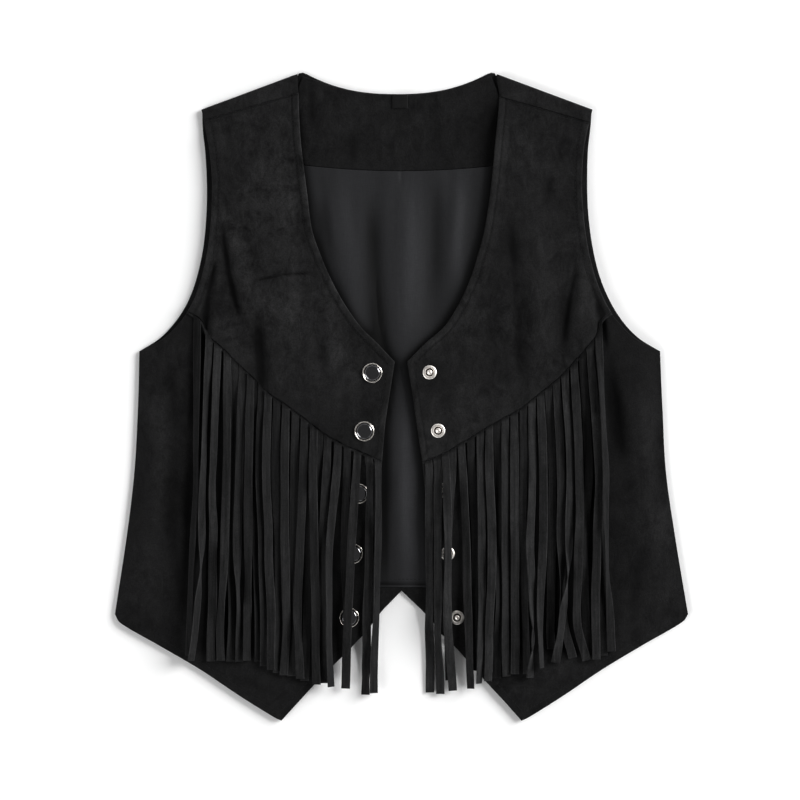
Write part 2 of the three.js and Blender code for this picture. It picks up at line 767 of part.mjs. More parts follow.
function hemFacingSheet() {
  const { across, down } = HEM_FACING_CELLS;
  const hem = (side) => {
    const outer = evenly(hemOf(HEM_OUTER, side).slice(2), across / 2);
    const inner = evenly(hemOf(HEM_INNER, side), across / 2);
    return raised(chain(outer, inner), HEM_INSET);
  };
  const bottom = chain(hem("left"), [...hem("right")].reverse());
  const [from, to] = [bottom[0], bottom[bottom.length - 1]];
  const top = lineOf(() => LINING_HEM_Y - SEAM_GAP, from.x, to.x, 2 * across);
  const rows = patch(
    top,
    bottom,
    evenly([top[0], from], down),
    evenly([top[2 * across], to], down),
  );
  return sheetOf(rows, INNER_THICK, () => INNER_LEVEL).sheet;
}

// A snap turned round its middle, standing on the cloth under it.
function snapOn(sheets, kind, x, y) {
  const { radius, high, profile } = kind;
  const outline = profile.map((row) => new THREE.Vector2(row.reach * radius, row.height * high));
  const geometry = new THREE.LatheGeometry(outline, TURNED_SIDES).rotateX(Math.PI / 2);
  let seat = topAt(sheets, x, y);
  for (const reach of [radius / 2, radius]) {
    for (let i = 0; i < TURNED_SIDES; i += 1) {
      const angle = (2 * Math.PI * i) / TURNED_SIDES;
      seat = Math.max(seat, topAt(sheets, x + reach * Math.cos(angle), y + reach * Math.sin(angle)));
    }
  }
  return { geometry, x, y, z: seat + SEAM_GAP };
}

// One strand: sections at shared heights, each resting on whatever lies under it and the step before and after.
function strandRings(side, row, sheets, laid, bumps) {
  const half = STRAND_WIDTH / 2;
  const start = seamAt(side, row.root) - 2 * SEAM_GAP - HEADING_WIDE / 2;
  const path = [
    [-start, row.root],
    [-STRAND_HEIGHTS.high, row.high],
    [-STRAND_HEIGHTS.middle, row.middle],
    [-STRAND_HEIGHTS.low, row.low],
    [-row.tipY, row.tip],
  ].filter(([down], i) => i === 0 || down > -start + RING_STEP / 2);
  const lowestRoot = Math.min(seamAt(side, row.root - half), seamAt(side, row.root + half));
  const levels = [lowestRoot - HEADING_WIDE - ROOT_DROP];
  const steps = Math.round((levels[0] - row.tipY) / RING_STEP);
  const drop = (levels[0] - row.tipY) / steps;
  for (let i = 1; i <= steps; i += 1) levels.push(levels[0] - i * drop);
  const middles = levels.map((y) => ({ x: SIDES[side] * smoothAt(path, -y), y }));
  const restAt = (p) => {
    let rest = 0;
    for (let across = -REST_SAMPLES; across <= REST_SAMPLES; across += 1) {
      for (let along = -REST_SAMPLES; along <= REST_SAMPLES; along += 1) {
        const y = Math.min(p.y + (along * RING_STEP) / REST_SAMPLES, start);
        const x = SIDES[side] * smoothAt(path, -y) + (across * half) / REST_SAMPLES;
        rest = Math.max(rest, topAt(sheets, x, y));
      }
    }
    for (const bump of bumps) {
      const near = Math.abs(p.x - bump.x) < half + bump.radius + GAP;
      if (near && Math.abs(p.y - bump.y) < RING_STEP + bump.radius) rest = Math.max(rest, bump.top);
    }
    return rest;
  };
  const rests = middles.map((p) => {
    let rest = restAt(p);
    for (const along of [-1, -0.5, 0, 0.5, 1]) {
      const y = Math.min(p.y + along * RING_STEP, levels[0]);
      const x = SIDES[side] * smoothAt(path, -y);
      for (const other of laid) rest = Math.max(rest, other(x, y));
    }
    return rest;
  });
  laid.push((x, y) => {
    if (y > levels[0] || y < row.tipY) return 0;
    if (Math.abs(SIDES[side] * smoothAt(path, -y) - x) > STRAND_WIDTH + GAP) return 0;
    const after = Math.max(levels.findIndex((levelY) => levelY <= y), 1);
    return Math.max(rests[after - 1], rests[after]) + GAP + STRAND_THICK;
  });
  const ring = (corners, z) => {
    const [[x1, y1], [x2, y2]] = corners;
    const [low, high] = [z - STRAND_THICK / 2, z + STRAND_THICK / 2];
    return [[x1, y1, low], [x2, y2, low], [x2, y2, high], [x1, y1, high]];
  };
  const slant = [-half, half].map((aside) => {
    const p = belowSeam(side, row.root + SIDES[side] * aside, 2 * SEAM_GAP + HEADING_WIDE / 2);
    return [p.x, p.y];
  });
  const seats = [0, 0.25, 0.5, 0.75, 1].flatMap((t) => {
    const x = slant[0][0] + (slant[1][0] - slant[0][0]) * t;
    const y = slant[0][1] + (slant[1][1] - slant[0][1]) * t;
    return [0, -ROOT_DROP, -2 * ROOT_DROP].map((lower) => topAt(sheets, x, y + lower));
  });
  const headingZ = Math.max(...seats) + SEAM_GAP + HEADING_THICK / 2;
  return [
    ring(slant, headingZ),
    ...middles.map((p, i) => {
      const z = Math.max(rests[i], TIP_REST) + GAP + STRAND_THICK / 2;
      return ring([[p.x - half, p.y], [p.x + half, p.y]], z);
    }),
  ];
}

// The fringe of one side: a narrow heading just below the seam, with the strands joined to it.
function fringeGeometry(side, sheets, bumps) {
  const rings = seamPlaces(side).map((out) => {
    const high = belowSeam(side, out, 2 * SEAM_GAP);
    const low = belowSeam(side, out, 2 * SEAM_GAP + HEADING_WIDE);
    let rest = 0;
    for (const aside of [-4, -2, 0, 2, 4]) {
      for (const p of [high, low]) rest = Math.max(rest, topAt(sheets, p.x + aside, p.y));
    }
    const [under, over] = [rest + SEAM_GAP, rest + SEAM_GAP + HEADING_THICK];
    return [[high.x, high.y, under], [low.x, low.y, under], [low.x, low.y, over], [high.x, high.y, over]];
  });
  let whole = solidOf(loft(rings));
  const laid = [];
  const order = [...STRANDS[side]].sort((a, b) => a.laid - b.laid);
  for (const row of order) {
    whole = whole.add(solidOf(loft(strandRings(side, row, sheets, laid, bumps))));
  }
  return geometryOf(whole);
}

const SUEDE = { color: 0x1d1d1e, roughness: 0.95, metalness: 0 };
const FINISHES = {
  suede: SUEDE,
  fringe: { ...SUEDE, color: 0x262627 },
  satin: { color: 0x303136, roughness: 0.5, metalness: 0 },
  cap: { color: 0x55565a, roughness: 0.15, metalness: 1 },
  stud: { color: 0xb9b5ae, roughness: 0.25, metalness: 1 },
  tape: { color: 0x141415, roughness: 0.7, metalness: 0 },
};

const vest = new THREE.Group();
function addPiece(name, geometry, finish) {
  const piece = new THREE.Mesh(geometry, new THREE.MeshStandardMaterial(FINISHES[finish]));
  piece.name = name;
  vest.add(piece);
  return piece;
}

const back = { panel: backSheet(), facing: neckFacingSheet(), lining: liningSheet(), hem: hemFacingSheet() };
addPiece("back_panel", wallOf(back.panel), "suede");
addPiece("back_neck_facing", wallOf(back.facing), "suede");
addPiece("back_lining", wallOf(back.lining), "satin");
addPiece("back_hem_facing", wallOf(back.hem), "suede");

const label = addPiece("neck_label", new THREE.BoxGeometry(LABEL.wide, LABEL.tall, LABEL.thick), "tape");
label.position.set(LABEL.x, LABEL.y, topAt([back.facing], LABEL.x, LABEL.y) + GAP + LABEL.thick / 2);

for (const side of ["left", "right"]) {
  const yoke = yokeSheet(side);
  const lower = lowerSheet(side);
  addPiece("front_yoke_" + side, wallOf(yoke), "suede");
  addPiece("front_lower_" + side, wallOf(lower), "suede");
  const kind = SNAP_KINDS[side];
  const bumps = SNAPS.map((row, i) => {
    const [x, y] = [SIDES[side] * row[kind.name], row[kind.name + "Y"]];
    const snap = snapOn([yoke, lower], kind, x, y);
    const piece = addPiece("snap_" + kind.name + "_" + (i + 1), snap.geometry, kind.name);
    piece.position.set(snap.x, snap.y, snap.z);
    return { x, y, radius: kind.radius, top: snap.z + kind.high };
  });
  addPiece("fringe_" + side, fringeGeometry(side, [lower, back.panel, back.lining, back.hem], bumps), "fringe");
}

export default vest;
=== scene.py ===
"""A western vest of black suede with a long fringe, open at the front and laid flat on a white surface.

Shapes are worked out in millimetres and turned into metres when a mesh is made.
+X is to the viewer's right, +Y runs up to the neck, and +Z points up from the surface.
Left and right are the viewer's. Most tables give distances from the middle line for both sides.
"""

import math

import bpy
import numpy as np
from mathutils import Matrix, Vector, kdtree


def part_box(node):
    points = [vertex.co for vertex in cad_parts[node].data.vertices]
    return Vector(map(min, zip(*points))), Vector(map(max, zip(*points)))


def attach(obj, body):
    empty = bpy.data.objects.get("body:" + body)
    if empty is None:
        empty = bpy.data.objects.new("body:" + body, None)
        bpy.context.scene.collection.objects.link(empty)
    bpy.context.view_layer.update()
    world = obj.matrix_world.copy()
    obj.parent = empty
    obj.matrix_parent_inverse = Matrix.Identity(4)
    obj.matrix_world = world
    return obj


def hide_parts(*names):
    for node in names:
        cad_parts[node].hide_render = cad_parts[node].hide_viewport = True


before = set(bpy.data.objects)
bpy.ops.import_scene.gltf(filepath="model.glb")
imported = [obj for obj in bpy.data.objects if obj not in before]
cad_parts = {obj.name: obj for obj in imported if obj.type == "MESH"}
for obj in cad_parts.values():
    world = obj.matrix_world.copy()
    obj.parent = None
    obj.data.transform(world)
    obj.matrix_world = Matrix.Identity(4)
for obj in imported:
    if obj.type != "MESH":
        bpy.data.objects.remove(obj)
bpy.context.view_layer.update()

MM = 0.001
SIDES = {"left": -1, "right": 1}

# Cloth thicknesses, and the gap between pieces at a seam or where one lies on another.
BACK_THICK = 1.4
INNER_THICK = 1.0
FRONT_THICK = 1.5
STRAND_THICK = 1.0
GAP = 0.3
SEAM_GAP = 0.35

# Heights of the middle of each layer: the back on the surface, the facings and lining on it, then the fronts.
BACK_LEVEL = BACK_THICK / 2
INNER_LEVEL = BACK_THICK + GAP + INNER_THICK / 2
FRONT_LEVEL = BACK_THICK + INNER_THICK + 2 * GAP + FRONT_THICK / 2

# How far the fronts stand off the inside, as loose cloth does, and how much of a panel each lift takes up.
BODY_LIFT = 1.0
ARMHOLE_LIFT = 1.2
OPENING_LIFT = 1.2
SEAM_LIFT = 1.5
SIDE_DROP = INNER_THICK + GAP
FOLD_GAIN = 1.7
CREASE_GAIN = 0.5
FOLD_LIFT = 0.9
YOKE_EDGE_LIFT = {"left": 0.8, "right": 2.2}
YOKE_REACH = {"shoulder": 0.12, "armhole": 0.2, "opening": 0.15, "point": 0.3, "seam": 0.1}
LOWER_REACH = {"side": 0.1, "opening": 0.1, "hem": 0.15}


def table(columns, rows):
    """Named columns of a table, each as an array."""
    return dict(zip(columns.split(), np.array(rows, float).T))


SHOULDER = table("left right y", [[177, 169, 253.3], [87.2, 79.2, 286.7]])
FORWARD_SEAM = table("left left_y right right_y", [
    [175.2, 243.6, 166, 241.5], [131.4, 255.9, 116.4, 255.9], [90.8, 267.9, 86.4, 264.2],
])
ARMHOLE = table("left right y inset", [
    [177, 169, 253.3, 1], [175.8, 167, 236, 2.5], [173.8, 165, 218, 4], [172.2, 164.3, 191, 5],
    [172.4, 165, 165, 4.8], [175, 168.7, 134, 4.6], [180.5, 175, 107, 4.6], [188.2, 184, 85, 5],
    [199, 195, 67, 5], [213.3, 209.6, 51.5, 4], [231.9, 228.8, 39.6, 0.5],
])
SIDE = table("left right y", [
    [231.9, 228.8, 39.6], [233, 230.8, -12], [235.9, 233.6, -65], [242, 240.9, -118], [253.3, 253.3, -192.8],
])
HEM_OUTER = table("out left right", [
    [253.3, -192.8, -192.8], [249, -200, -199], [215, -219.8, -218.8], [178, -241.4, -241],
    [143, -264.8, -264.6], [112, -284, -284], [106, -286.6, -286.7],
])
HEM_INNER = table("out left right", [
    [106, -286.6, -286.7], [94, -273.4, -273.2], [72, -249.6, -249.3], [45, -222.8, -219],
    [30, -207, -202.5], [19, -192, -190.3], [8, -180.4, -179.8], [0, -172, -172],
])
FRONT_NECK = table("left right y", [
    [90.5, 85.7, 252], [88.8, 82.8, 225], [86.4, 81, 204], [83.2, 78.3, 179], [78.9, 73.3, 147],
    [70.8, 67, 123], [61.5, 60.2, 102], [50, 50.6, 81], [35.8, 37.5, 61], [21.7, 21.5, 47], [5.9, 4.9, 30.3],
])
FRONT_EDGE = table("left right y", [
    [5.9, 4.9, 30.3], [10, 9.3, 4], [14.1, 13.2, -23], [17.1, 18.4, -57.8], [23.6, 24.7, -130],
    [30.5, 31.4, -207],
])
SEAM_ROW = 3
YOKE_SEAM = table("out left right", [
    [17, -57.6, -58], [34, -49.8, -51.6], [53, -41.6, -40.6], [71, -31.2, -29.6], [87, -18.4, -20.5],
    [104, -6, -11], [120, 4.7, 1.5], [129, 14.3, 8.7], [143, 27.6, 21], [157, 41.8, 36], [165, 48, 46],
    [171, 54, 53.5], [176, 66, 67], [190, 76, 77],
])

# The back neck, the facings and the lining, rounded corners, and the flaps that fold over the shoulders.
NECK_ENDS = (-SHOULDER["left"][1], SHOULDER["right"][1])
NECK_SAG = {"y": 267.2, "rise": 19.5, "power": 2.4}
FACING_LINE = {"y": 199.3, "rise": 5, "half": 86}
FACING_HALF = {"left": 118, "right": 112}
LINING_HEM_Y = -169
LINING_ROW = 4
LINING_INSET = 14
LINING_EDGE = 0.09
HEM_INSET = 1
HEM_ROWS = {"outer_from": 2, "inner_to": 4}
FOLD_ROOM = 3
FOLD_POWER = 8
CORNER = 3
CORNER_POINTS = 13
FLAP_SHARE = 0.94
FLAP_TURNS = 12
FLAP_STEPS = [*np.linspace(0, 0.9, 9)[1:], 0.95, 0.975, 0.99, 1.0]

# Folds and creases: a soft ridge, or a trough where the rise is negative, along a line.
FOLDS = "x1 y1 x2 y2 width rise"
FRONT_FOLDS = {
    "left": table(FOLDS, [
        [-160, 146, -146, 72, 7, -1.6], [-165, 120, -176, 48, 5, -1.6], [-152, 150, -134, 70, 9, 1.2],
        [-129, 72, -124, 0, 7, -1.4], [-110, 190, -100, 60, 16, 1.4], [-72, 130, -52, -20, 12, 1],
        [-214, 20, -224, -170, 14, 1.6], [-200, -10, -206, -150, 8, -1],
    ]),
    "right": table(FOLDS, [
        [92, 148, 102, 112, 7, -1.2], [156, 118, 166, 40, 12, 2.2], [145, 102, 139, 28, 7, -1.4],
        [170, 92, 179, 50, 4, -1.8], [104, 118, 106, -10, 7, -1.2], [120, 180, 124, 20, 14, 1.4],
        [60, 90, 46, -30, 12, 1], [181, 48, 186, -60, 7, -1.2], [214, 16, 222, -170, 14, 1.6],
    ]),
}
# Finer creases, which the visible face has in full and the rest of the cloth in part.
FRONT_CREASES = {
    "left": table(FOLDS, [
        [-132, 101, -108, 106.5, 1.2, -1.1], [-112, 106.5, -78, 109, 1.2, -1.1],
        [-160, 158, -151, 102, 2.6, -1.05], [-154, 114, -141, 62, 2.6, -1.25],
        [-163, 126, -172, 82, 1.7, -1.2], [-171, 92, -175, 44, 2.2, -1.6], [-139, 146, -128, 118, 3.5, -0.4],
        [-122, 170, -112, 138, 4, -0.35], [-96, 160, -84, 128, 4, -0.35], [-128, 78, -122, -6, 4, -1.1],
        [-72, 62, -68, 14, 5, -0.8], [-90, 84, -86, 22, 5, -0.4], [-104, 96, -98, 40, 4, 0.35],
        [-56, 40, -48, -22, 4, -0.3], [-182, 58, -184, -40, 3.2, -0.9], [-184, -20, -191, -226, 5, -1.1],
        [-206, 34, -198, -30, 4.5, -0.5], [-226, -20, -232, -120, 5, -0.5],
        [-204, -110, -190, -204, 5, -0.5], [-150, -246, -112, -262, 4, -0.35],
    ]),
    "right": table(FOLDS, [
        [96, 170, 101, 62, 3.2, -0.5], [155, 120, 142, 40, 2.6, -1.5], [160, 118, 156, 60, 3.5, 0.7],
        [165, 112, 171, 84, 2, -0.5], [176, 72, 181, 40, 2, -1], [103, 84, 103, 20, 3.5, -0.5],
        [131, 196, 127, 168, 5.5, -0.6], [118, 150, 124, 96, 4.5, 0.4], [86, 96, 78, 34, 4.5, -0.4],
        [132, 190, 138, 150, 4.5, -0.3], [58, 62, 48, 8, 4, -0.35], [186, 20, 196, -64, 6, -1.1],
        [224, -10, 231, -110, 5, -0.5], [214, -120, 200, -206, 5, -0.5], [126, -262, 158, -244, 4, -0.35],
    ]),
}

# Painted light and shade on the fronts: lighter on ridges, on the rim outside the stitches and along the edge
# that faces the lamp, darker in troughs, in the stitch groove and along the shoulder seam. For folds and
# creases: the height that counts as full, the lightest, and how much they count.
PAINTED_LIGHT = {
    "folds": (2.2, 0.45, 0.75), "creases": (1.3, 0.5, 1), "rim": 0.12, "groove": 0.6, "groove_wide": 0.8,
    "edge_highlight": 0.7, "edge_highlight_wide": 0.9, "shoulder": 0.6, "shoulder_wide": 1.3,
}
# How the lower fronts are painted: all a little darker, a painted highlight on the raised strip by the
# opening and how far it reaches, and painted shade where the fringe lies over them.
LOWER_TONE_AND_PAINTED_LIGHT = {"all": -0.2, "opening": 0.4, "reach": 0.25, "painted_shade_under_fringe": -0.8}
# Where the shade under the fringe is painted: the distances out over which it comes in and fades, how far
# below the seam it comes in, and how far down it fades.
UNDER_FRINGE = {"from": (50, 62), "to": (172, 182), "below": (2, 14), "above": (222, 232)}
LOWER_RUBBED = -0.3
RUBBED = {"x": -112, "y": 150, "reach": 62}
LINING_FOLDS = table(FOLDS, [
    [-52, 190, -42, 0, 11, 1.6], [6, 186, 6, 0, 12, 1.4], [52, 196, 36, 90, 8, 1.2],
    [-74, 190, -58, 126, 6, 0.9], [-6, -40, -3, -160, 7, 1],
])
LINING_CREASES = table(FOLDS, [
    [0, 199, 0, -169, 0.7, -0.4], [0, 203, 0, 186, 1.6, -0.6], [-24, 182, -16, 26, 6, -0.9],
    [-20, 120, -12, 10, 5, -0.6], [32, 196, 26, 50, 7, -0.55], [-72, 194, -60, 112, 4, -0.9],
    [-13, 10, -15, -150, 8, -0.45], [9, 10, 13, -150, 6, 0.35], [-2, -96, 4, -158, 5, -0.3],
])
# Painted light and shade on the satin along its soft folds: lighter where the rise is positive, darker where
# it is negative.
LINING_PAINTED_LIGHT = table(FOLDS, [
    [-73, 176, -67, 100, 5, -0.5], [-49, 196, -46, 84, 9, 0.4], [-27, 182, -22.5, 50, 7, -0.75],
    [-23, 90, -13, -30, 7.5, -1.1], [-14, -10, -15, -196, 4.5, -1], [13, 212, 4, 20, 10, 0.5],
    [3, 30, 7, -196, 6, 0.8], [31, 204, 34, 84, 6, -0.4], [52, 212, 50, 84, 5, 0.5],
    [-0.8, 204, -0.8, 188, 0.9, 0.9],
])

# How dark the inside is beside the fronts' edges, how light it gets at most, and how far the shade reaches.
EDGE_SHADE = {"lining": 0.95, "facing": 1.0}
LIGHTEST = {"lining": 0.8, "facing": 0.4}
EDGE_SHADE_REACH = {"left": {"lining": 3.5, "facing": 2.2}, "right": {"lining": 4.5, "facing": 13}}

# Lines along the lining's hem, how far each rises and how much painted light it gets: stitches, fold with a
# painted highlight and tuck with painted shade.
LINING_HEM = table("y rise light", [[-161.8, -0.22, 0], [-163.8, 0.15, 0.4], [-166.3, -0.4, -0.9]])
LINING_HEM_LINE = 0.8
LINING_HEM_SHORT = 12
# How much painted light and shade the lining's creases add for each unit of their rise.
LINING_CREASE_SHADE = 0.3
FACING_CREASES = table(FOLDS, [
    [-44, 236, -42, 206, 3.5, -0.45], [-82, 282, -77, 232, 3.5, -0.6], [-86, 276, -66, 262, 3, 0.4],
    [30, 250, 34, 214, 5, -0.2],
])

# Strands of the fringe: where each is rooted on the seam, its distance out at three depths and at its tip,
# and whether it was laid first (0) or lies over its neighbours (1).
STRAND_DEPTHS = (65, 136, 200)
STRAND_WIDTH = 7.8
STRAND_COLUMNS = "root high middle low tip tip_y laid"
STRANDS = {
    "left": table(STRAND_COLUMNS, [
        [180, 181, 184, 186.5, 188, -229, 0], [169.5, 174.5, 176, 180.5, 185.5, -233, 1],
        [162, 166, 166.5, 167, 168.5, -234, 1], [153.5, 154, 156, 159, 159.5, -233, 1],
        [146.5, 149.5, 150, 149.5, 151, -234, 0], [140, 143, 144.5, 143, 143.5, -234, 1],
        [133, 134.5, 135, 135.5, 136.5, -233, 1], [127, 128.5, 128, 126, 126, -234, 0],
        [123, 125, 122.5, 121, 121, -238, 0], [117.5, 119, 116.5, 114.5, 115, -241, 1],
        [110, 111, 108.5, 107.5, 109.5, -244, 0], [102, 103, 102.5, 101.5, 103, -246, 1],
        [93.5, 94.5, 95.5, 97, 97, -247, 0], [85.5, 86.5, 89.5, 91.5, 89, -249, 1],
        [80.5, 82.5, 84.5, 83, 85.5, -251, 0], [77, 78, 76.5, 75.5, 75, -254, 1],
        [71.5, 73.5, 72, 71, 72, -252, 0], [65, 66, 69.5, 68.5, 68, -253, 0],
        [56, 57, 63.5, 63.5, 62, -256, 1], [47.5, 48, 50, 47.5, 48.5, -246, 0],
        [38.5, 39.6, 44.3, 47.3, 49.3, -258, 1], [29.5, 27.7, 28.6, 30.5, 31.5, -264, 1],
        [21, 20.4, 20.6, 23, 24.3, -262, 1],
    ]),
    "right": table(STRAND_COLUMNS, [
        [23.5, 24.5, 24.5, 25, 25.5, -262, 1], [31, 32, 32, 32.5, 34, -263, 1],
        [38.5, 39.5, 41, 40.5, 45.5, -260, 1], [45, 45, 40.8, 41, 42.5, -251, 0],
        [52.5, 54, 57.5, 58.5, 61.5, -258, 1], [61, 62, 65.5, 63.5, 63.5, -242, 0],
        [69.5, 70, 71, 70, 68.5, -253, 1], [77.5, 77.5, 80, 77.5, 76, -251, 1],
        [84.5, 84.5, 85.5, 85, 84, -249, 0], [91.5, 91.5, 91.5, 92, 92.5, -247, 1],
        [99.5, 99.5, 99.5, 100.5, 100, -245, 1], [107.5, 107.5, 106.5, 109.5, 111, -245, 0],
        [115, 115.5, 113.5, 115.5, 113.5, -248, 1], [122.5, 125, 124.5, 121.5, 124, -239, 1],
        [129.5, 133, 132.5, 131.5, 132.5, -223, 0], [136.5, 140.5, 140.5, 144, 151, -231, 0],
        [144, 148.5, 147, 141.5, 135.5, -235, 1], [152, 156.5, 156, 155, 162.5, -233, 1],
        [159.5, 165, 161.5, 162.5, 166, -231, 0], [166, 173.5, 171.5, 171, 171.5, -232, 1],
        [170, 175.5, 175, 176, 178, -229, 0], [173.5, 179, 180.5, 183.5, 185.5, -225, 1],
    ]),
}
# Strands that roll on their long axis: the strand's root, where the roll is, over what length,
# and how far in degrees.
ROLLS = {
    "left": table("root y length turn", [
        [65, -190, 70, 34], [29.5, -251, 12, 40], [29.5, -88, 20, 54], [38.5, -127, 22, 30],
        [146.5, -180, 44, -50], [140, -174, 30, -46], [169.5, -152, 18, -52], [85.5, -214, 18, -52],
        [127, -186, 40, -48], [77, -176, 30, -46], [110, -200, 50, -34], [127, -90, 60, -28],
        [180, -100, 170, 48],
    ]),
    "right": table("root y length turn", [
        [45, -150, 60, -35], [61, -200, 40, 40], [107.5, -190, 60, 34], [136.5, -166, 30, -52],
        [84.5, -178, 34, -52], [84.5, -110, 40, 20], [115, -214, 18, -54], [144, -160, 20, -52],
        [144, -210, 16, -44], [152, -182, 22, -54], [159.5, -138, 24, -48], [170, -120, 80, -40],
    ]),
}

# A strand's cross-section: places across it and how thick it is there, first over its face and then back.
RING_STEP = 2.0
ACROSS = np.array([-1, -0.98, -0.9, -0.8, -0.45, 0, 0.45, 0.8, 0.9, 0.98, 1])
ROUNDING = np.array([0.15, 0.6, 0.98, 1, 1, 1, 1, 1, 0.98, 0.6, 0.15])
AROUND = np.concatenate([ACROSS, ACROSS[::-1]])
FACE_AROUND = np.concatenate([ROUNDING, -ROUNDING])
MIDDLE_PART = (-0.5, 0, 0.5)
CUP = (-0.25, 0.3)
CUP_LEVEL = 0.4

# How strands leave the seam, bend, twist and lie. Pairs are ranges of chance, or of the run down a strand.
# The numbers under 0 and 1 are for strands laid first and for those over them.
STRAND_SEED = {"left": 100, "right": 150}
ROOT_BELOW = 0.5
ROOT_CLEAR = 0.05
ROOT_CLIMB = (2, 26)
ROOT_LIFT = 0.4
FIRST_RING_GAP = 0.2
FIRST_BEND = 8
LOOSE_FROM = (8, 60)
BENT_FROM = (30, 170)
BEND = (0.1, 0.45)
BEND_LENGTHS = ((60, 90), (100, 160))
PHASES = (0, 6)
TWIST = {"length": (110, 230), "swing": (3, 10), "all": (-5, 5)}
DRAPE_SAG = 0.012
DRAPE_DROOP = 0.02
DRAPE_ROUNDS = 500
STRAND_LOWEST = 0.4
STRAND_CLEAR = 0.12
TURNED_LIFT = 0.9
AIR = {0: 1.6, 1: 0.9, "from": (3, 45), "tip": 30, "settled": 0.75, "share": (0.5, 1.1)}
NARROWER = {"along": 0.05, "wave": 23, "root": 0.14, "until": (5, 40)}
HEADING = {"top": 0.4, "bottom": 2.4, "above": 0.1, "thick": 0.7}

# How the strands are painted: a tone that differs at random all over, darker with painted shade for those
# laid first; painted shade at the root and on the outermost one; and a painted highlight on cut edges.
STRAND_TONE_AND_PAINTED_SHADE = {0: (-0.5, 0.05), 1: (-0.1, 0.36)}
ROOT_PAINTED_SHADE = -1
OUTERMOST_PAINTED_SHADE = -0.4
CUT_EDGE_PAINTED_HIGHLIGHT = (0.1, 1.0)
CUT_EDGE = 0.89

# Snaps: the caps are on the left front and the studs on the right, each pair a little further out.
SNAP_KIND = {"left": "cap", "right": "stud"}
SNAPS = table("cap cap_y stud stud_y", [
    [25.7, 20.5, 24.8, 21], [32.7, -31, 32.3, -30.5], [37.2, -86, 36.4, -83], [42.5, -139, 40.7, -139],
    [46, -195.4, 49, -195.4],
])
TURNED_SIDES = 64
DISC_LINES = 16
SNAP_RADIUS = {"cap": 8.8, "stud": 6.4}
SNAP_SUNK = 0.1
SNAP_SHOULDER = 1.2
RIM = {"middle": 8.1, "half": 0.7, "high": 0.8}
DOME = {"radius": 6.6, "low": 0.9, "edge": 1.15, "rise": 1.35}

# Outlines of the snaps' bodies as radius and height, from the middle of the underside to the top's.
CAP_RIM_OUTLINE = [
    [0, 0],
    *([RIM["middle"] + RIM["half"] * math.cos(turn), RIM["high"] * (1 + math.sin(turn))]
      for turn in np.linspace(-0.5, 1.0, 14) * math.pi),
    [0, RIM["high"]],
]
CAP_DOME_OUTLINE = [
    [0, DOME["low"]], [DOME["radius"], DOME["low"]],
    *([DOME["radius"] * math.sin(turn), DOME["edge"] + DOME["rise"] * math.cos(turn)]
      for turn in np.linspace(0.5, 0, 14)[:-1] * math.pi),
    [0, DOME["edge"] + DOME["rise"]],
]
# The stud has a flange, a dark disc at the floor of the groove round its post that paints the shade there,
# and the post with its hollow.
FLANGE_OUTLINE = [
    [0, 0], [5.9, 0], [6.25, 0.2], [6.3, 0.5], [6.15, 0.8], [5.7, 1.05], [5.0, 1.2], [4.3, 1.25],
    [3.8, 1.15], [3.6, 0.9], [3.5, 0.4], [0, 0.3],
]
GROOVE_OUTLINE = [[0, 0.3], [3.48, 0.42], [3.4, 0.5], [0, 0.5]]
POST_OUTLINE = [
    [0, 0.4], [2.3, 0.4], [2.35, 0.9], [2.4, 2.0], [2.3, 2.5], [2.0, 2.75], [1.5, 2.8], [1.0, 2.6],
    [0.8, 2.1], [0.5, 1.8], [0, 1.75],
]
LABEL = {
    "x": -1.3, "y": 260.4, "wide": 14, "tall": 12.4, "thick": 0.6, "above": 0.35, "puff": 0.35, "power": 6,
    "lines": 25,
}

# Cells of the panels' coarse nets, which place their corners.
BACK_CELLS = {"shoulder": 6, "neck": 10, "armhole": 9, "side": 6}
BACK_COLUMNS = 2 * BACK_CELLS["shoulder"] + BACK_CELLS["neck"]
SEAM_CELLS = 14
YOKE_CELLS = {"neck": 10, "opening": 3}
LOWER_CELLS = {"armhole": 4, "down": 11}
LINING_CELLS = {"across": 24, "armhole": 7, "side": 7}

# For each panel, across and down: how many times finer its net is made here, and about how long it is.
FINER = {
    "back": ((5, 420), (8, 480)), "facing": ((120, 190), (40, 72)), "hem_facing": ((180, 420), (36, 60)),
    "lining": ((6, 400), (9, 380)), "yoke": ((8, 130), (12, 280)), "lower": ((8, 190), (13, 250)),
}
# How high each panel's unevenness is, the seed of its waves, and their size.
UNEVEN = {
    "back": (0.06, 3, 30), "facing": (0.08, 5, 26), "lining": (0.1, 7, 34), "hem_facing": (0.08, 9, 24),
    "yoke": (0.12, 11, 28), "lower": (0.12, 21, 30),
}
RIPPLES = 9
RIPPLE_RANGES = ((0, math.tau), (0, math.tau), (0.6, 1.7))

# The share of a hem's cells on its outer slope, and of a fold's length over which it fades at each end.
HEM_SHARE = 0.6
FOLD_FADE = 0.35

# How closely lines and nets are filled in, and the rounding of a sheet's rim.
LINE_POINTS = 61
CLOSE_POINTS = {"armhole": 241, "opening": 400, "heading": 120, "stitches": 300}
LINE_STEP = 0.3
RIM_STEPS = 4
RIM_LEFT = 0.02
TINY = 1e-9
UP = np.array([0.0, 0.0, 1.0])
FACES_UP = 0.9
ENDS = np.array([0.0, 1.0])
EDGE_LINES = np.array([0.12, 0.4, 0.8, 1.4, 2.4])

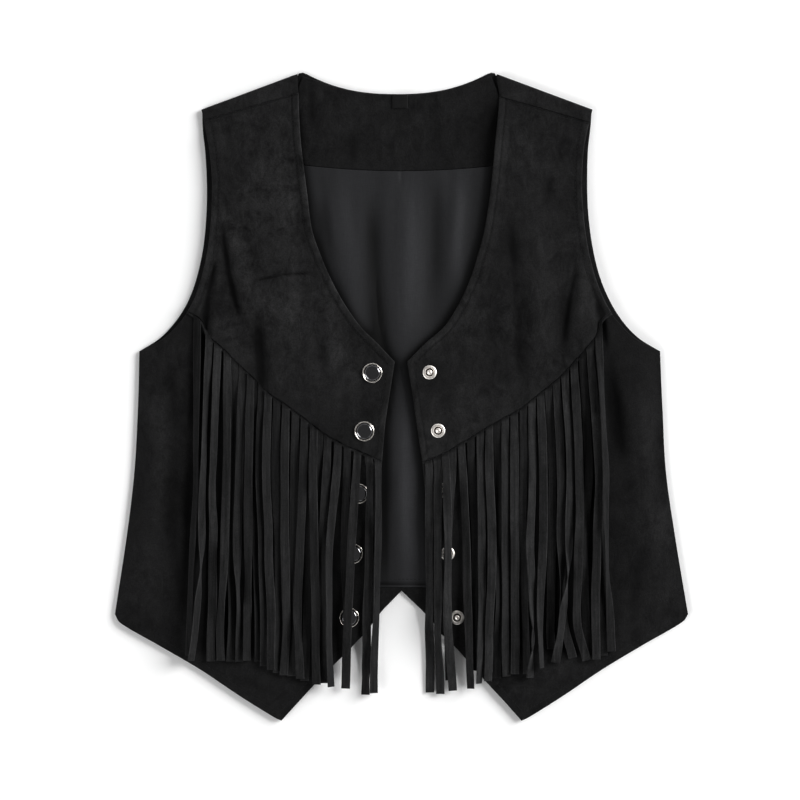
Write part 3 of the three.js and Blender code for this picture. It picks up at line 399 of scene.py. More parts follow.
# Turned edges and topstitching: the distance inside the edge, the ridge and its groove, and the stitches.
STITCH_INSET = 6.0
RIDGE_HIGH = 0.3
ARMHOLE_RIDGE = 0.5
STITCH_GROOVE = 0.28
STITCH_GROOVE_WIDE = 0.75
STITCH_LONG = 2.7
STITCH_STEP = 3.5
STITCH_THICK = 0.42
STITCH_SIDES = 6
STITCH_SWELL = np.array([0.5, 0.9, 1, 0.9, 0.5])
STITCH_RISE = np.array([-0.1, 0.02, 0.06, 0.02, -0.1])

# The parts of a texture's range that hold most of it, for plain noise and for crossed threads.
MOST_NOISE = (0.3, 0.7)
MOST_THREADS = (0.1, 0.4)

# The camera, straight above, in metres: its height, how wide it sees, and the middle of its view.
CAMERA_HIGH = 2.2
FRAME_WIDE = 0.708
SENSOR = 36.0
VIEW_CENTRE = (-0.0013, -0.0034)


def smooth_at(places, values, at):
    """Reads a smooth line through pairs of place and value. The places rise."""
    before = np.maximum(np.arange(len(places)) - 1, 0)
    after = np.minimum(np.arange(len(places)) + 1, len(places) - 1)
    slopes = (values[after] - values[before]) / (places[after] - places[before])
    i = np.clip(np.searchsorted(places, at, side="right") - 1, 0, len(places) - 2)
    span = places[i + 1] - places[i]
    t = np.clip((at - places[i]) / span, 0, 1)
    rise = (3 - 2 * t) * t * t
    bend = t * (1 - t) * span
    return values[i] + (values[i + 1] - values[i]) * rise + bend * ((1 - t) * slopes[i] - t * slopes[i + 1])


def straight_at(places, values, at):
    return np.interp(at, places, values)


def ramp(value, low, high):
    """Rises smoothly from 0 to 1 between two values."""
    t = np.clip((value - low) / (high - low), 0, 1)
    return t * t * (3 - 2 * t)


def bell(away, width):
    """Falls smoothly from 1 at a line to nearly 0 at twice the width from it."""
    return np.exp(-((away / width) ** 2))


def lengths_along(points):
    return np.concatenate([[0], np.cumsum(np.linalg.norm(np.diff(points, axis=0), axis=1))])


def place_along(points, shares, read=smooth_at):
    """Points at shares of the length of a line, which is smooth unless it is read straight."""
    lengths = lengths_along(points)
    at = lengths[-1] * np.asarray(shares)
    return np.column_stack([read(lengths, points[:, axis], at) for axis in (0, 1)])


def edge(line, read=smooth_at):
    """A line as a function of the share of its length."""
    return line if callable(line) else lambda shares: place_along(line, shares, read)


def edge_of(*parts, read=smooth_at):
    """An edge made of parts, each a line and its number of cells, as a function of a share."""
    bounds = np.cumsum([0] + [cells for _, cells in parts]) / sum(cells for _, cells in parts)

    def at(shares):
        placed = np.empty((len(shares), 2))
        for (line, _), low, high in zip(parts, bounds[:-1], bounds[1:]):
            inside = (shares >= low - TINY) & (shares <= high + TINY)
            placed[inside] = edge(line, read)((shares[inside] - low) / (high - low))
        return placed

    return at


def straight_flanks(top, bottom):
    return [edge(np.array([top[i], bottom[i]])) for i in (0, -1)]


def net_lines(cells, finer, length):
    """Shares of the lines of a net, with a few more close to both ends, where the edge is rounded."""
    near = EDGE_LINES / length
    return np.unique(np.round(np.concatenate([np.linspace(0, 1, cells * finer + 1), near, 1 - near]), 9))


def net_of(kind, columns, rows):
    """The lines of a panel's net, across and down."""
    return [net_lines(cells, *finer) for cells, finer in zip((columns, rows), FINER[kind])]


def patch(top, bottom, flanks, across, down):
    """Fills the space between four edges, as an array of rows of points, with the shares across and down."""
    u, v = np.meshgrid(across, down)
    u3, v3 = u[..., None], v[..., None]
    head, foot = top(across)[None], bottom(across)[None]
    start, end = (flank(down)[:, None] for flank in flanks)
    corners = (head[:, :1] * (1 - u3) + head[:, -1:] * u3) * (1 - v3)
    corners += (foot[:, :1] * (1 - u3) + foot[:, -1:] * u3) * v3
    return head * (1 - v3) + foot * v3 + start * (1 - u3) + end * u3 - corners, u, v


def near_start(share, reach):
    """Falls smoothly from 1 at the start of a panel to 0 at a reach."""
    return 1 - ramp(share, 0, reach)


def near_end(share, reach):
    return ramp(share, 1 - reach, 1)


def folds_at(folds, places):
    """How high the folds of a table raise the cloth at each place."""
    x, y = places[..., 0], places[..., 1]
    height = np.zeros_like(x)
    for x1, y1, x2, y2, width, rise in zip(*folds.values()):
        length = math.hypot(x2 - x1, y2 - y1)
        along = ((x - x1) * (x2 - x1) + (y - y1) * (y2 - y1)) / length
        aside = ((x - x1) * (y2 - y1) - (y - y1) * (x2 - x1)) / length
        start = ramp(along, -width, length * FOLD_FADE)
        end = 1 - ramp(along, length * (1 - FOLD_FADE), length + width)
        height += rise * start * end * bell(aside, width)
    return height


def uneven(kind, places, shift=0):
    """A panel's gentle unevenness, from a few crossed waves."""
    x, y = places[..., 0], places[..., 1]
    high, seed, size = UNEVEN[kind]
    chance = np.random.default_rng(seed + shift)
    height = np.zeros_like(x)
    for angle, phase, stretch in zip(*[chance.uniform(*limits, RIPPLES) for limits in RIPPLE_RANGES]):
        height += np.sin((x * math.cos(angle) + y * math.sin(angle)) * math.tau / (size * stretch) + phase)
    return high * height / RIPPLES


def raised(plan, height):
    """Points in plan put at a height."""
    return np.column_stack([plan, np.broadcast_to(height, len(plan))])


def tree_of(points):
    """Points arranged so that the nearest to a place is found quickly."""
    tree = kdtree.KDTree(len(points))
    for i, p in enumerate(points):
        tree.insert(p, i)
    tree.balance()
    return tree


def distances(points, others):
    """How far each point is from the nearest of the others."""
    tree = tree_of(others)
    return np.array([tree.find(p)[2] for p in points])


def distance_to(plan, line):
    """The distance of each point from a line, which is first filled in with closely spaced points."""
    dense = [line[-1:]]
    for start, end in zip(line[:-1], line[1:]):
        steps = max(int(np.linalg.norm(end - start) / LINE_STEP), 1)
        dense.append(start + (end - start) * np.linspace(0, 1, steps, endpoint=False)[:, None])
    return distances(raised(plan, 0), raised(np.vstack(dense), 0))


def edge_line(rows, side, inset=0):
    return np.column_stack([SIDES[side] * (rows[side] - inset), rows["y"]])


def hem_line(rows, side):
    return np.column_stack([SIDES[side] * rows["out"], rows[side]])


def forward_seam(side):
    return np.column_stack([SIDES[side] * FORWARD_SEAM[side], FORWARD_SEAM[side + "_y"]])


def front_armhole(side):
    """The front's own armhole edge, just inside the back's."""
    start = forward_seam(side)[:1]
    rest = edge_line(ARMHOLE, side, ARMHOLE["inset"])[1:]
    return np.vstack([start, rest[rest[:, 1] < start[0, 1] - GAP]])


def seam_at(side, out):
    return smooth_at(YOKE_SEAM["out"], YOKE_SEAM[side], np.asarray(out, float))


def below_seam(side, out, below):
    """Points the given distance below the fringe's seam, square to it."""
    slope = seam_at(side, out + 0.5) - seam_at(side, out - 0.5)
    length = np.hypot(slope, 1)
    x = SIDES[side] * (out + below * slope / length)
    return np.column_stack([x, seam_at(side, out) - below / length])


def yoke_corner(side):
    """Where the fringe's seam meets the front's armhole."""
    armhole = place_along(front_armhole(side), np.linspace(0, 1, CLOSE_POINTS["armhole"]))
    reached = armhole[armhole[:, 1] < seam_at(side, np.abs(armhole[:, 0]))][0]
    return np.array([reached[0], float(seam_at(side, abs(reached[0])))])


def seam_end(side):
    """Where the fringe's seam meets the opening."""
    x = edge_line(FRONT_EDGE, side)[SEAM_ROW, 0]
    return np.array([x, float(seam_at(side, abs(x)))])


def seam_places(side, shares):
    """Distances out that stand at shares of the seam's length from the armhole to the opening."""
    samples = np.linspace(abs(yoke_corner(side)[0]), abs(seam_end(side)[0]), LINE_POINTS)
    return np.abs(place_along(below_seam(side, samples, 0), shares)[:, 0])


def seam_edge(side, below):
    """The fringe's seam, or a line below it, as a function of a share."""
    return lambda shares: below_seam(side, seam_places(side, shares), below)


def crossed(points, cells):
    """The cross product of each cell's diagonals, which is as long as twice its area and square to it."""
    a, b, c, d = (points[cells[:, i]] for i in range(4))
    return np.cross(c - a, d - b)


def new_object(name, data):
    made = bpy.data.objects.new(name, data)
    bpy.context.scene.collection.objects.link(made)
    return made


def mesh_object(name, points, faces, materials):
    """Makes an object from points in millimetres."""
    mesh = bpy.data.meshes.new(name)
    mesh.from_pydata((np.asarray(points) * MM).tolist(), [], faces)
    mesh.validate()
    mesh.polygons.foreach_set("use_smooth", [True] * len(mesh.polygons))
    for material in materials:
        mesh.materials.append(material)
    return new_object(name, mesh)


def store(piece, name, values):
    """Stores a number at each point of a mesh, for its material."""
    attribute = piece.data.attributes.new(name, "FLOAT", "POINT")
    attribute.data.foreach_set("value", np.asarray(values, np.float32))


def settle(piece, node):
    """Puts a piece in the place of a node of the frame."""
    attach(piece, "root")
    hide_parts(node)


class Sheet:
    """A wall of cloth: points on its middle with a direction out of its face, and cells between them."""

    def __init__(self, thick):
        self.thick = thick
        self.points = np.empty((0, 3))
        self.out = np.empty((0, 3))
        self.cells = np.empty((0, 4), int)

    def add_points(self, points, out):
        """Adds points that face one way, and returns their numbers."""
        first = len(self.points)
        self.points = np.vstack([self.points, points.reshape(-1, 3)])
        self.out = np.vstack([self.out, np.broadcast_to(out, points.shape).reshape(-1, 3)])
        return first + np.arange(points[..., 0].size).reshape(points.shape[:-1])

    def add_cells(self, numbers):
        """Adds the cells between rows of points."""
        above, below = numbers[:-1], numbers[1:]
        corners = np.stack([above[:, :-1], below[:, :-1], below[:, 1:], above[:, 1:]], -1)
        self.cells = np.vstack([self.cells, corners.reshape(-1, 4)])

    @property
    def plan(self):
        return self.points[:, :2]

    def rim(self):
        """Pairs of points along the open edges."""
        pairs = np.vstack([self.cells[:, [i, (i + 1) % 4]] for i in range(4)])
        count = len(self.points)
        return pairs[~np.isin(pairs @ [count, 1], pairs @ [1, count])]

    def dress(self, name, node, slot, material, relief, painted_light_and_tone=0.0, rubbed=0.0):
        """Makes the closed mesh: a face with its relief, a plain back, and rounded edges.

        Besides the relief it takes painted light and shade, with some plain tone, for each point of the face,
        and rubbed how mottled it is.
        """
        rim = self.rim()
        ends = self.points[rim]
        dense = [ends[:, 0] + (ends[:, 1] - ends[:, 0]) * i / RIM_STEPS for i in range(RIM_STEPS)]
        away = distances(self.points, np.vstack(dense))
        half = self.thick / 2
        t = np.clip(away / half, 0, 1)
        swell = half * np.sqrt(np.clip(1 - (1 - t) ** 2, RIM_LEFT, 1))
        self.face = self.points + self.out * (swell + relief * ramp(away, 0, half))[:, None]
        behind = self.points - self.out * swell[:, None]
        count = len(self.points)
        band = np.column_stack([rim + count, rim[:, ::-1]])
        quads = np.vstack([self.cells, self.cells[:, ::-1] + count, band])
        if crossed(self.face, self.cells)[:, 2].sum() < 0:
            quads = quads[:, ::-1]
        self.piece = mesh_object(name, np.vstack([self.face, behind]), quads.tolist(), [material])
        for layer, values in (("painted_light_and_tone", painted_light_and_tone), ("rubbed", rubbed)):
            store(self.piece, layer, np.tile(np.broadcast_to(values, count), 2))
        settle(self.piece, node)
        return self

    def declare(self, rests_on, with_pieces=()):
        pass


def flat_sheet(points, height, thick):
    """A sheet that faces up, from rows of points and their heights."""
    sheet = Sheet(thick)
    points = np.dstack([points, np.broadcast_to(height, points.shape[:2])])
    sheet.add_cells(sheet.add_points(points, UP))
    return sheet


class Relief:
    """The height of the highest surface at each place, on a grid of small cells."""

    STEP = 1.5
    LOW = (-270.0, -300.0)
    SIZE = (360, 400)

    def __init__(self, height=None):
        self.height = np.zeros(self.SIZE) if height is None else height.copy()

    def cell(self, *place):
        return [np.clip(np.round((v - low) / self.STEP).astype(int), 1, size - 2)
                for v, low, size in zip(place, self.LOW, self.SIZE)]

    def add(self, points):
        i, j = self.cell(points[:, 0], points[:, 1])
        for di, dj in np.ndindex(3, 3):
            np.maximum.at(self.height, (i + di - 1, j + dj - 1), points[:, 2])

    def at(self, x, y):
        return self.height[tuple(self.cell(x, y))]


class Look:
    """The nodes of a material or the world, with short ways to add more and link them to its shader."""

    def __init__(self, owner, shader, constants):
        owner.use_nodes = True
        self.owner, self.tree = owner, owner.node_tree
        self.shader = self.tree.nodes[shader]
        for key, value in constants.items():
            self.shader.inputs[key].default_value = value
        self.place = self.node("TexCoord").outputs

    def node(self, kind, values=(), links=(), operation=None):
        """Adds a node, sets some of its inputs and links others."""
        made = self.tree.nodes.new("ShaderNode" + kind)
        if operation:
            made.operation = operation
        for key, value in dict(values).items():
            made.inputs[key].default_value = value
        for key, source in dict(links).items():
            self.tree.links.new(source, made.inputs[key])
        return made

    def noise(self, scale, detail=4.0, roughness=0.55, stretch=(1, 1, 1), turn=0.0, distortion=0.0):
        """A noise texture over the object's own coordinates, in metres."""
        placing = {"Scale": stretch, "Rotation": (0, 0, turn)}
        mapping = self.node("Mapping", placing, {"Vector": self.place["Object"]})
        values = {"Scale": scale, "Detail": detail, "Roughness": roughness, "Distortion": distortion}
        return self.node("TexNoise", values, {"Vector": mapping.outputs["Vector"]}).outputs["Fac"]

    def spread(self, value, low, high, to_low, to_high):
        """Maps part of a texture's range to other values."""
        values = {"From Min": low, "From Max": high, "To Min": to_low, "To Max": to_high}
        return self.node("MapRange", values, {"Value": value}).outputs["Result"]

    def combine(self, operation, a, b):
        return self.node("Math", links={0: a, 1: b}, operation=operation).outputs[0]

    def product(self, first, *others):
        for other in others:
            first = self.combine("MULTIPLY", first, other)
        return first

    def shade(self, colour, factor):
        """A colour made darker and lighter by a factor."""
        return self.node("VectorMath", {0: colour}, {"Scale": factor}, "SCALE").outputs[0]

    def layer(self, name):
        """A number stored at each point of the mesh, or 0 where it has none."""
        layer = self.node("Attribute")
        layer.attribute_name = name
        return layer.outputs["Fac"]

    def bump(self, height, distance, strength, below=None):
        links = {"Height": height, "Normal": below} if below else {"Height": height}
        return self.node("Bump", {"Strength": strength, "Distance": distance}, links).outputs["Normal"]

    def join(self, sources):
        """Links outputs to the shader, and returns what the nodes belong to."""
        for key, source in sources.items():
            self.tree.links.new(source, self.shader.inputs[key])
        return self.owner


def new_look(name, constants):
    return Look(bpy.data.materials.new(name), "Principled BSDF", constants)


def suede(name, colour, mottle, lines=0.0):
    """Napped leather: mottled patches, a soft grain and a velvety sheen, with the painted light and shade
    stored on the mesh. Lines are what cutting leaves.
    """
    look = new_look(name, {
        "Roughness": 1.0, "Specular IOR Level": 0.08, "Sheen Weight": 0.1, "Sheen Roughness": 0.5,
        "Sheen Tint": (0.8, 0.8, 0.84, 1)})
    clouds = look.noise(16, detail=2, roughness=0.5, distortion=0.5)
    patches = look.noise(48, detail=7, roughness=0.82, distortion=0.5)
    strokes = look.noise(120, detail=5, roughness=0.75, stretch=(1, 0.5, 1), turn=0.3, distortion=0.8)
    fibres = look.noise(950, detail=3, roughness=0.75)
    mottling = look.combine(
        "ADD", look.spread(patches, *MOST_NOISE, -mottle * 0.66, mottle * 1.32),
        look.spread(strokes, *MOST_NOISE, -mottle * 0.6, mottle * 1.05))
    mottling = look.product(
        mottling, look.spread(look.noise(11, detail=1), 0.35, 0.65, 0.6, 1.3),
        look.spread(look.layer("rubbed"), -0.5, 1, 0.4, 1.5))
    tone = look.combine("ADD", look.spread(clouds, *MOST_NOISE, 1 - mottle * 0.3, 1 + mottle * 0.3), mottling)
    # The stored painted light and shade, with some plain tone, lightens and darkens the colour.
    tone = look.product(
        tone, look.spread(fibres, *MOST_NOISE, 0.68, 1.32), look.spread(look.layer("painted_light_and_tone"), -1, 1, 0.25, 1.75))
    if lines:
        drawn = look.noise(420, detail=3, roughness=0.6, stretch=(1, 0.03, 1))
        tone = look.product(tone, look.spread(drawn, *MOST_NOISE, 1 - lines, 1 + lines))
    tone = look.combine("MAXIMUM", tone, look.spread(clouds, 0, 1, 0.15, 0.15))
    low = look.bump(strokes, 0.0006, 0.6)
    return look.join({"Base Color": look.shade(colour, tone), "Normal": look.bump(fibres, 0.0003, 0.6, low)})


def threads_of(look, scale, detail, thin):
    across, down = (look.noise(scale, detail, stretch=stretch) for stretch in ((1, thin, 1), (thin, 1, 1)))
    return look.product(across, down)


def satin(name, colour):
    """Smooth lining: a soft gloss over fine threads."""
    look = new_look(name, {
        "Roughness": 0.5, "Specular IOR Level": 0.25, "Sheen Weight": 0.05, "Sheen Roughness": 0.3})
    streaks = look.noise(60, detail=4, roughness=0.5, stretch=(1, 0.12, 1))
    threads = threads_of(look, 1800, 2, 0.08)
    # Painted light and shade stored on the mesh, along the satin's folds and beside the fronts' edges,
    # lightens and darkens the colour.
    tone = look.product(
        look.spread(streaks, 0.35, 0.65, 0.92, 1.08), look.spread(threads, *MOST_THREADS, 0.88, 1.12),
        look.spread(look.layer("painted_light_and_tone"), -1, 1, 0.1, 1.9))
    return look.join({
        "Base Color": look.shade(colour, tone), "Roughness": look.spread(streaks, *MOST_NOISE, 0.46, 0.56),
        "Normal": look.bump(threads, 0.00012, 0.5)})


def tape(name, colour):
    """Tightly woven tape."""
    look = new_look(name, {"Roughness": 0.8, "Specular IOR Level": 0.25})
    threads = threads_of(look, 1400, 1, 0.1)
    return look.join({
        "Base Color": look.shade(colour, look.spread(threads, *MOST_THREADS, 0.75, 1.3)),
        "Normal": look.bump(threads, 0.0002, 0.7)})


def metal(name, colour, smoothest, roughest):
    """Plated steel with a worn polish."""
    look = new_look(name, {"Metallic": 1.0})
    wear = look.noise(700, detail=5, roughness=0.65)
    scratches = look.noise(900, detail=3, stretch=(1, 0.1, 1), turn=0.6)
    return look.join({
        "Base Color": look.shade(colour, look.spread(wear, *MOST_NOISE, 0.9, 1.08)),
        "Roughness": look.spread(wear, *MOST_NOISE, smoothest, roughest),
        "Normal": look.bump(scratches, 0.00001, 0.2)})


SUEDE = suede("black_suede", (0.0123, 0.0123, 0.0125), 0.75)
FRINGE_SUEDE = suede("fringe_suede", (0.0194, 0.0194, 0.0197), 0.3, lines=0.38)
FACING_SUEDE = suede("facing_suede", (0.0108, 0.0108, 0.011), 0.62)
SATIN = satin("lining_satin", (0.0262, 0.0265, 0.0285))
TAPE = tape("label_tape", (0.0062, 0.0062, 0.0064))
THREAD = tape("black_thread", (0.012, 0.012, 0.0125))
CAP_RIM = metal("cap_rim", (0.95, 0.91, 0.86), 0.1, 0.18)
CAP_DOME = metal("cap_dome", (0.27, 0.27, 0.28), 0.05, 0.1)
STUD = metal("stud_metal", (0.98, 0.94, 0.9), 0.44, 0.54)
# A dark metal for the groove's floor: painted shade.
STUD_GROOVE_SHADE = metal("stud_groove_painted_shade", (0.06, 0.05, 0.045), 0.5, 0.6)


def neck_share(x):
    """How far out a place on the back neck is, from 0 in its middle to 1 at its ends."""
    left, right = NECK_ENDS
    return np.abs(x - (left + right) / 2) / ((right - left) / 2)


def neck_at(x):
    return NECK_SAG["y"] + NECK_SAG["rise"] * neck_share(x) ** NECK_SAG["power"]


def facing_line_at(x):
    return FACING_LINE["y"] + FACING_LINE["rise"] * (x / FACING_LINE["half"]) ** 2


def line_of(height_at, start, end):
    x = np.linspace(start, end, LINE_POINTS)
    return np.column_stack([x, height_at(x) + 0 * x])


def hem_edge(moved_up, skip=0):
    """The whole hem from the left side seam round both points to the right one."""
    half = BACK_COLUMNS // 2
    outer = round(half * HEM_SHARE)
    parts = []
    for side in SIDES:
        lines = [(hem_line(HEM_OUTER, side)[skip:], outer), (hem_line(HEM_INNER, side), half - outer)]
        lines = [(points + [0, moved_up], cells) for points, cells in lines]
        parts += lines if side == "left" else [(points[::-1], cells) for points, cells in lines[::-1]]
    return edge_of(*parts)


def round_corner(first, second):
    """Rounds the corner where one line ends and another starts. Both then meet in the middle of the curve."""
    lines = []
    for line in (first[::-1], second):
        lengths = lengths_along(line)
        start = place_along(line, [CORNER / lengths[-1]])[0]
        lines.append((start, line[lengths > CORNER + 1]))
    (a, before), (b, after) = lines
    t = np.linspace(0, 1, CORNER_POINTS)[:, None]
    curve = a * (1 - t) ** 2 + 2 * first[-1] * t * (1 - t) + b * t ** 2
    middle = CORNER_POINTS // 2
    return np.vstack([before[::-1], curve[:middle + 1]]), np.vstack([curve[middle:], after])


def make_back():
    """The back, with its flaps folded over the shoulders to the forward seams."""
    radius = (FRONT_LEVEL - BACK_LEVEL) / 2
    inward = radius + BACK_THICK / 2
    shoulders, outward, flanks = {}, {}, {}
    for side in SIDES:
        line = edge_line(SHOULDER, side)
        run = (line[1] - line[0]) / np.linalg.norm(line[1] - line[0])
        outward[side] = np.array([run[1], -run[0]]) * SIDES[side]
        inset = line - outward[side] * inward
        flap_end = inset[0] + (inset[1] - inset[0]) * FLAP_SHARE
        shoulders[side] = np.vstack([inset[0], flap_end, flap_end + outward[side] * inward + run, line[1]])
        armhole = edge_line(ARMHOLE, side)
        armhole[0] = inset[0]
        flanks[side] = edge_of((armhole, BACK_CELLS["armhole"]), (edge_line(SIDE, side), BACK_CELLS["side"]))
    neck_from, neck_to = shoulders["left"][-1], shoulders["right"][-1]
    neck = line_of(neck_at, neck_from[0], neck_to[0])
    neck[0], neck[-1] = neck_from, neck_to
    left_top, neck = round_corner(shoulders["left"], neck)
    right_top, neck = round_corner(shoulders["right"], neck[::-1])
    top = edge_of(
        (left_top, BACK_CELLS["shoulder"]), (neck[::-1], BACK_CELLS["neck"]),
        (right_top[::-1], BACK_CELLS["shoulder"]), read=straight_at)
    across, down = net_of("back", BACK_COLUMNS, BACK_CELLS["armhole"] + BACK_CELLS["side"])
    points, _, _ = patch(top, hem_edge(0), flanks.values(), across, down)
    sheet = flat_sheet(points, BACK_LEVEL, BACK_THICK)
    end = BACK_CELLS["shoulder"] / BACK_COLUMNS * FLAP_SHARE
    for side in SIDES:
        inside = across if side == "left" else 1 - across
        chosen = inside <= end + TINY
        base = points[0, chosen]
        seam = place_along(forward_seam(side), inside[chosen] / end) + [0, SEAM_GAP]
        rings = []
        for angle in np.linspace(0, math.pi, FLAP_TURNS + 1)[1:]:
            out = np.append(-outward[side] * math.sin(angle), math.cos(angle))
            plan = base + outward[side] * radius * math.sin(angle)
            rings.append(sheet.add_points(raised(plan, BACK_LEVEL + radius * (1 - math.cos(angle))), out))
        for step in FLAP_STEPS:
            rings.append(sheet.add_points(raised(base * (1 - step) + seam * step, FRONT_LEVEL), -UP))
        sheet.add_cells(np.vstack(rings[::-1] + [np.flatnonzero(chosen)[None]]))
    return sheet.dress("back_panel_suede", "back_panel", "suede", SUEDE, uneven("back", sheet.plan))


def edge_shade(kind, plan):
    """How dark the inside is beside the fronts' edges, where they stand over it."""
    shade = np.zeros(len(plan))
    for side in SIDES:
        line = np.vstack([edge_line(FRONT_NECK, side), edge_line(FRONT_EDGE, side)[1:]])
        shade += EDGE_SHADE[kind] * bell(distance_to(plan, line), EDGE_SHADE_REACH[side][kind])
    return shade


def make_neck_facing():
    top = line_of(lambda x: neck_at(x) - HEM_INSET - FOLD_ROOM * neck_share(x) ** FOLD_POWER, *NECK_ENDS)
    bottom = line_of(facing_line_at, -FACING_HALF["left"], FACING_HALF["right"])
    points, _, _ = patch(edge(top), edge(bottom), straight_flanks(top, bottom), *net_of("facing", 1, 1))
    sheet = flat_sheet(points, INNER_LEVEL, INNER_THICK)
    creases = folds_at(FACING_CREASES, sheet.plan)
    relief = creases + uneven("facing", sheet.plan)
    # Painted light and shade along the creases, and painted shadow beside the fronts' edges.
    painted_light_and_tone = np.clip(creases - edge_shade("facing", sheet.plan), -1, LIGHTEST["facing"])
    return sheet.dress("neck_facing_suede", "back_neck_facing", "suede", FACING_SUEDE, relief, painted_light_and_tone)


def make_lining():
    flanks = {}
    for side in SIDES:
        armhole = edge_line(ARMHOLE, side, LINING_INSET)[LINING_ROW:]
        start = [armhole[0, 0], facing_line_at(armhole[0, 0]) - SEAM_GAP]
        out = float(smooth_at(-SIDE["y"], SIDE[side], np.array(-LINING_HEM_Y))) - LINING_INSET
        seam = np.vstack([edge_line(SIDE, side, LINING_INSET)[:-1], [SIDES[side] * out, LINING_HEM_Y]])
        armhole = np.vstack([start, armhole])
        flanks[side] = edge_of((armhole, LINING_CELLS["armhole"]), (seam, LINING_CELLS["side"]))
    left, right = (flank(ENDS)[:, 0] for flank in flanks.values())
    top = line_of(lambda x: facing_line_at(x) - SEAM_GAP, left[0], right[0])
    bottom = line_of(lambda x: LINING_HEM_Y, left[1], right[1])
    net = net_of("lining", LINING_CELLS["across"], LINING_CELLS["armhole"] + LINING_CELLS["side"])
    points, _, v = patch(edge(top), edge(bottom), flanks.values(), *net)
    shown = ramp(v, 0, LINING_EDGE) * (1 - near_end(v, LINING_EDGE))
    folds = np.maximum(folds_at(LINING_FOLDS, points), 0)
    sheet = flat_sheet(points, INNER_LEVEL + shown * folds, INNER_THICK)
    creases = folds_at(LINING_CREASES, points)
    relief = creases + uneven("lining", points) * shown
    # Painted light and shade along the folds, creases and hem, and painted shadow beside the fronts' edges.
    painted_light_and_shade = folds_at(LINING_PAINTED_LIGHT, points) + LINING_CREASE_SHADE * creases
    for at, rise, light in zip(*LINING_HEM.values()):
        line = bell(points[..., 1] - at, LINING_HEM_LINE)
        relief += rise * line
        painted_light_and_shade += light * line
    painted_light_and_tone = np.clip(painted_light_and_shade.ravel() - edge_shade("lining", sheet.plan), -1, LIGHTEST["lining"])
    return sheet.dress("back_lining_satin", "back_lining", "lining_satin", SATIN, relief.ravel(), painted_light_and_tone)


def make_hem_facing():
    bottom = hem_edge(HEM_INSET, HEM_ROWS["outer_from"])
    ends = bottom(ENDS)
    top = line_of(lambda x: LINING_HEM_Y - SEAM_GAP, ends[0, 0], ends[1, 0])
    points, _, _ = patch(edge(top), bottom, straight_flanks(top, ends), *net_of("hem_facing", 1, 1))
    sheet = flat_sheet(points, INNER_LEVEL, INNER_THICK)
    return sheet.dress(
        "hem_facing_suede", "back_hem_facing", "suede", FACING_SUEDE, uneven("hem_facing", sheet.plan))


def front_lift(side, places):
    """How the fronts' folds and looseness raise them, in common to the yoke and the lower front."""
    creases = folds_at(FRONT_CREASES[side], places)
    folds = FOLD_GAIN * folds_at(FRONT_FOLDS[side], places) + CREASE_GAIN * creases
    return np.maximum(folds + BODY_LIFT + FOLD_LIFT, 0)


def painted_relief_light(side, plan, away):
    """Painted light and shade: darker in troughs and along the stitches, lighter on ridges and at the edge.
    """
    painted_light_and_tone = PAINTED_LIGHT["rim"] * (away < STITCH_INSET) - PAINTED_LIGHT["groove"] * bell(away - STITCH_INSET, PAINTED_LIGHT["groove_wide"])
    for folds, (full, lightest, weight) in ((FRONT_FOLDS, PAINTED_LIGHT["folds"]), (FRONT_CREASES, PAINTED_LIGHT["creases"])):
        painted_light_and_tone += weight * np.clip(folds_at(folds[side], plan) / full, -1, lightest)
    return np.clip(painted_light_and_tone, -1, 1)


def painted_shade_under_fringe(side, plan):
    """Where the fringe lies close over the lower front, from 0 to 1, for the shade painted there."""
    out = np.abs(plan[:, 0])
    across = ramp(out, *UNDER_FRINGE["from"]) * (1 - ramp(out, *UNDER_FRINGE["to"]))
    below = ramp(seam_at(side, out) - plan[:, 1], *UNDER_FRINGE["below"])
    return across * below * (1 - ramp(-plan[:, 1], *UNDER_FRINGE["above"]))


def edge_ridge(away):
    """A turned edge: a little thicker up to its line of stitches, which sinks in."""
    ridge = RIDGE_HIGH * np.sin(np.clip(away / STITCH_INSET, 0, 1) * math.pi)
    return ridge - STITCH_GROOVE * bell(away - STITCH_INSET, STITCH_GROOVE_WIDE)


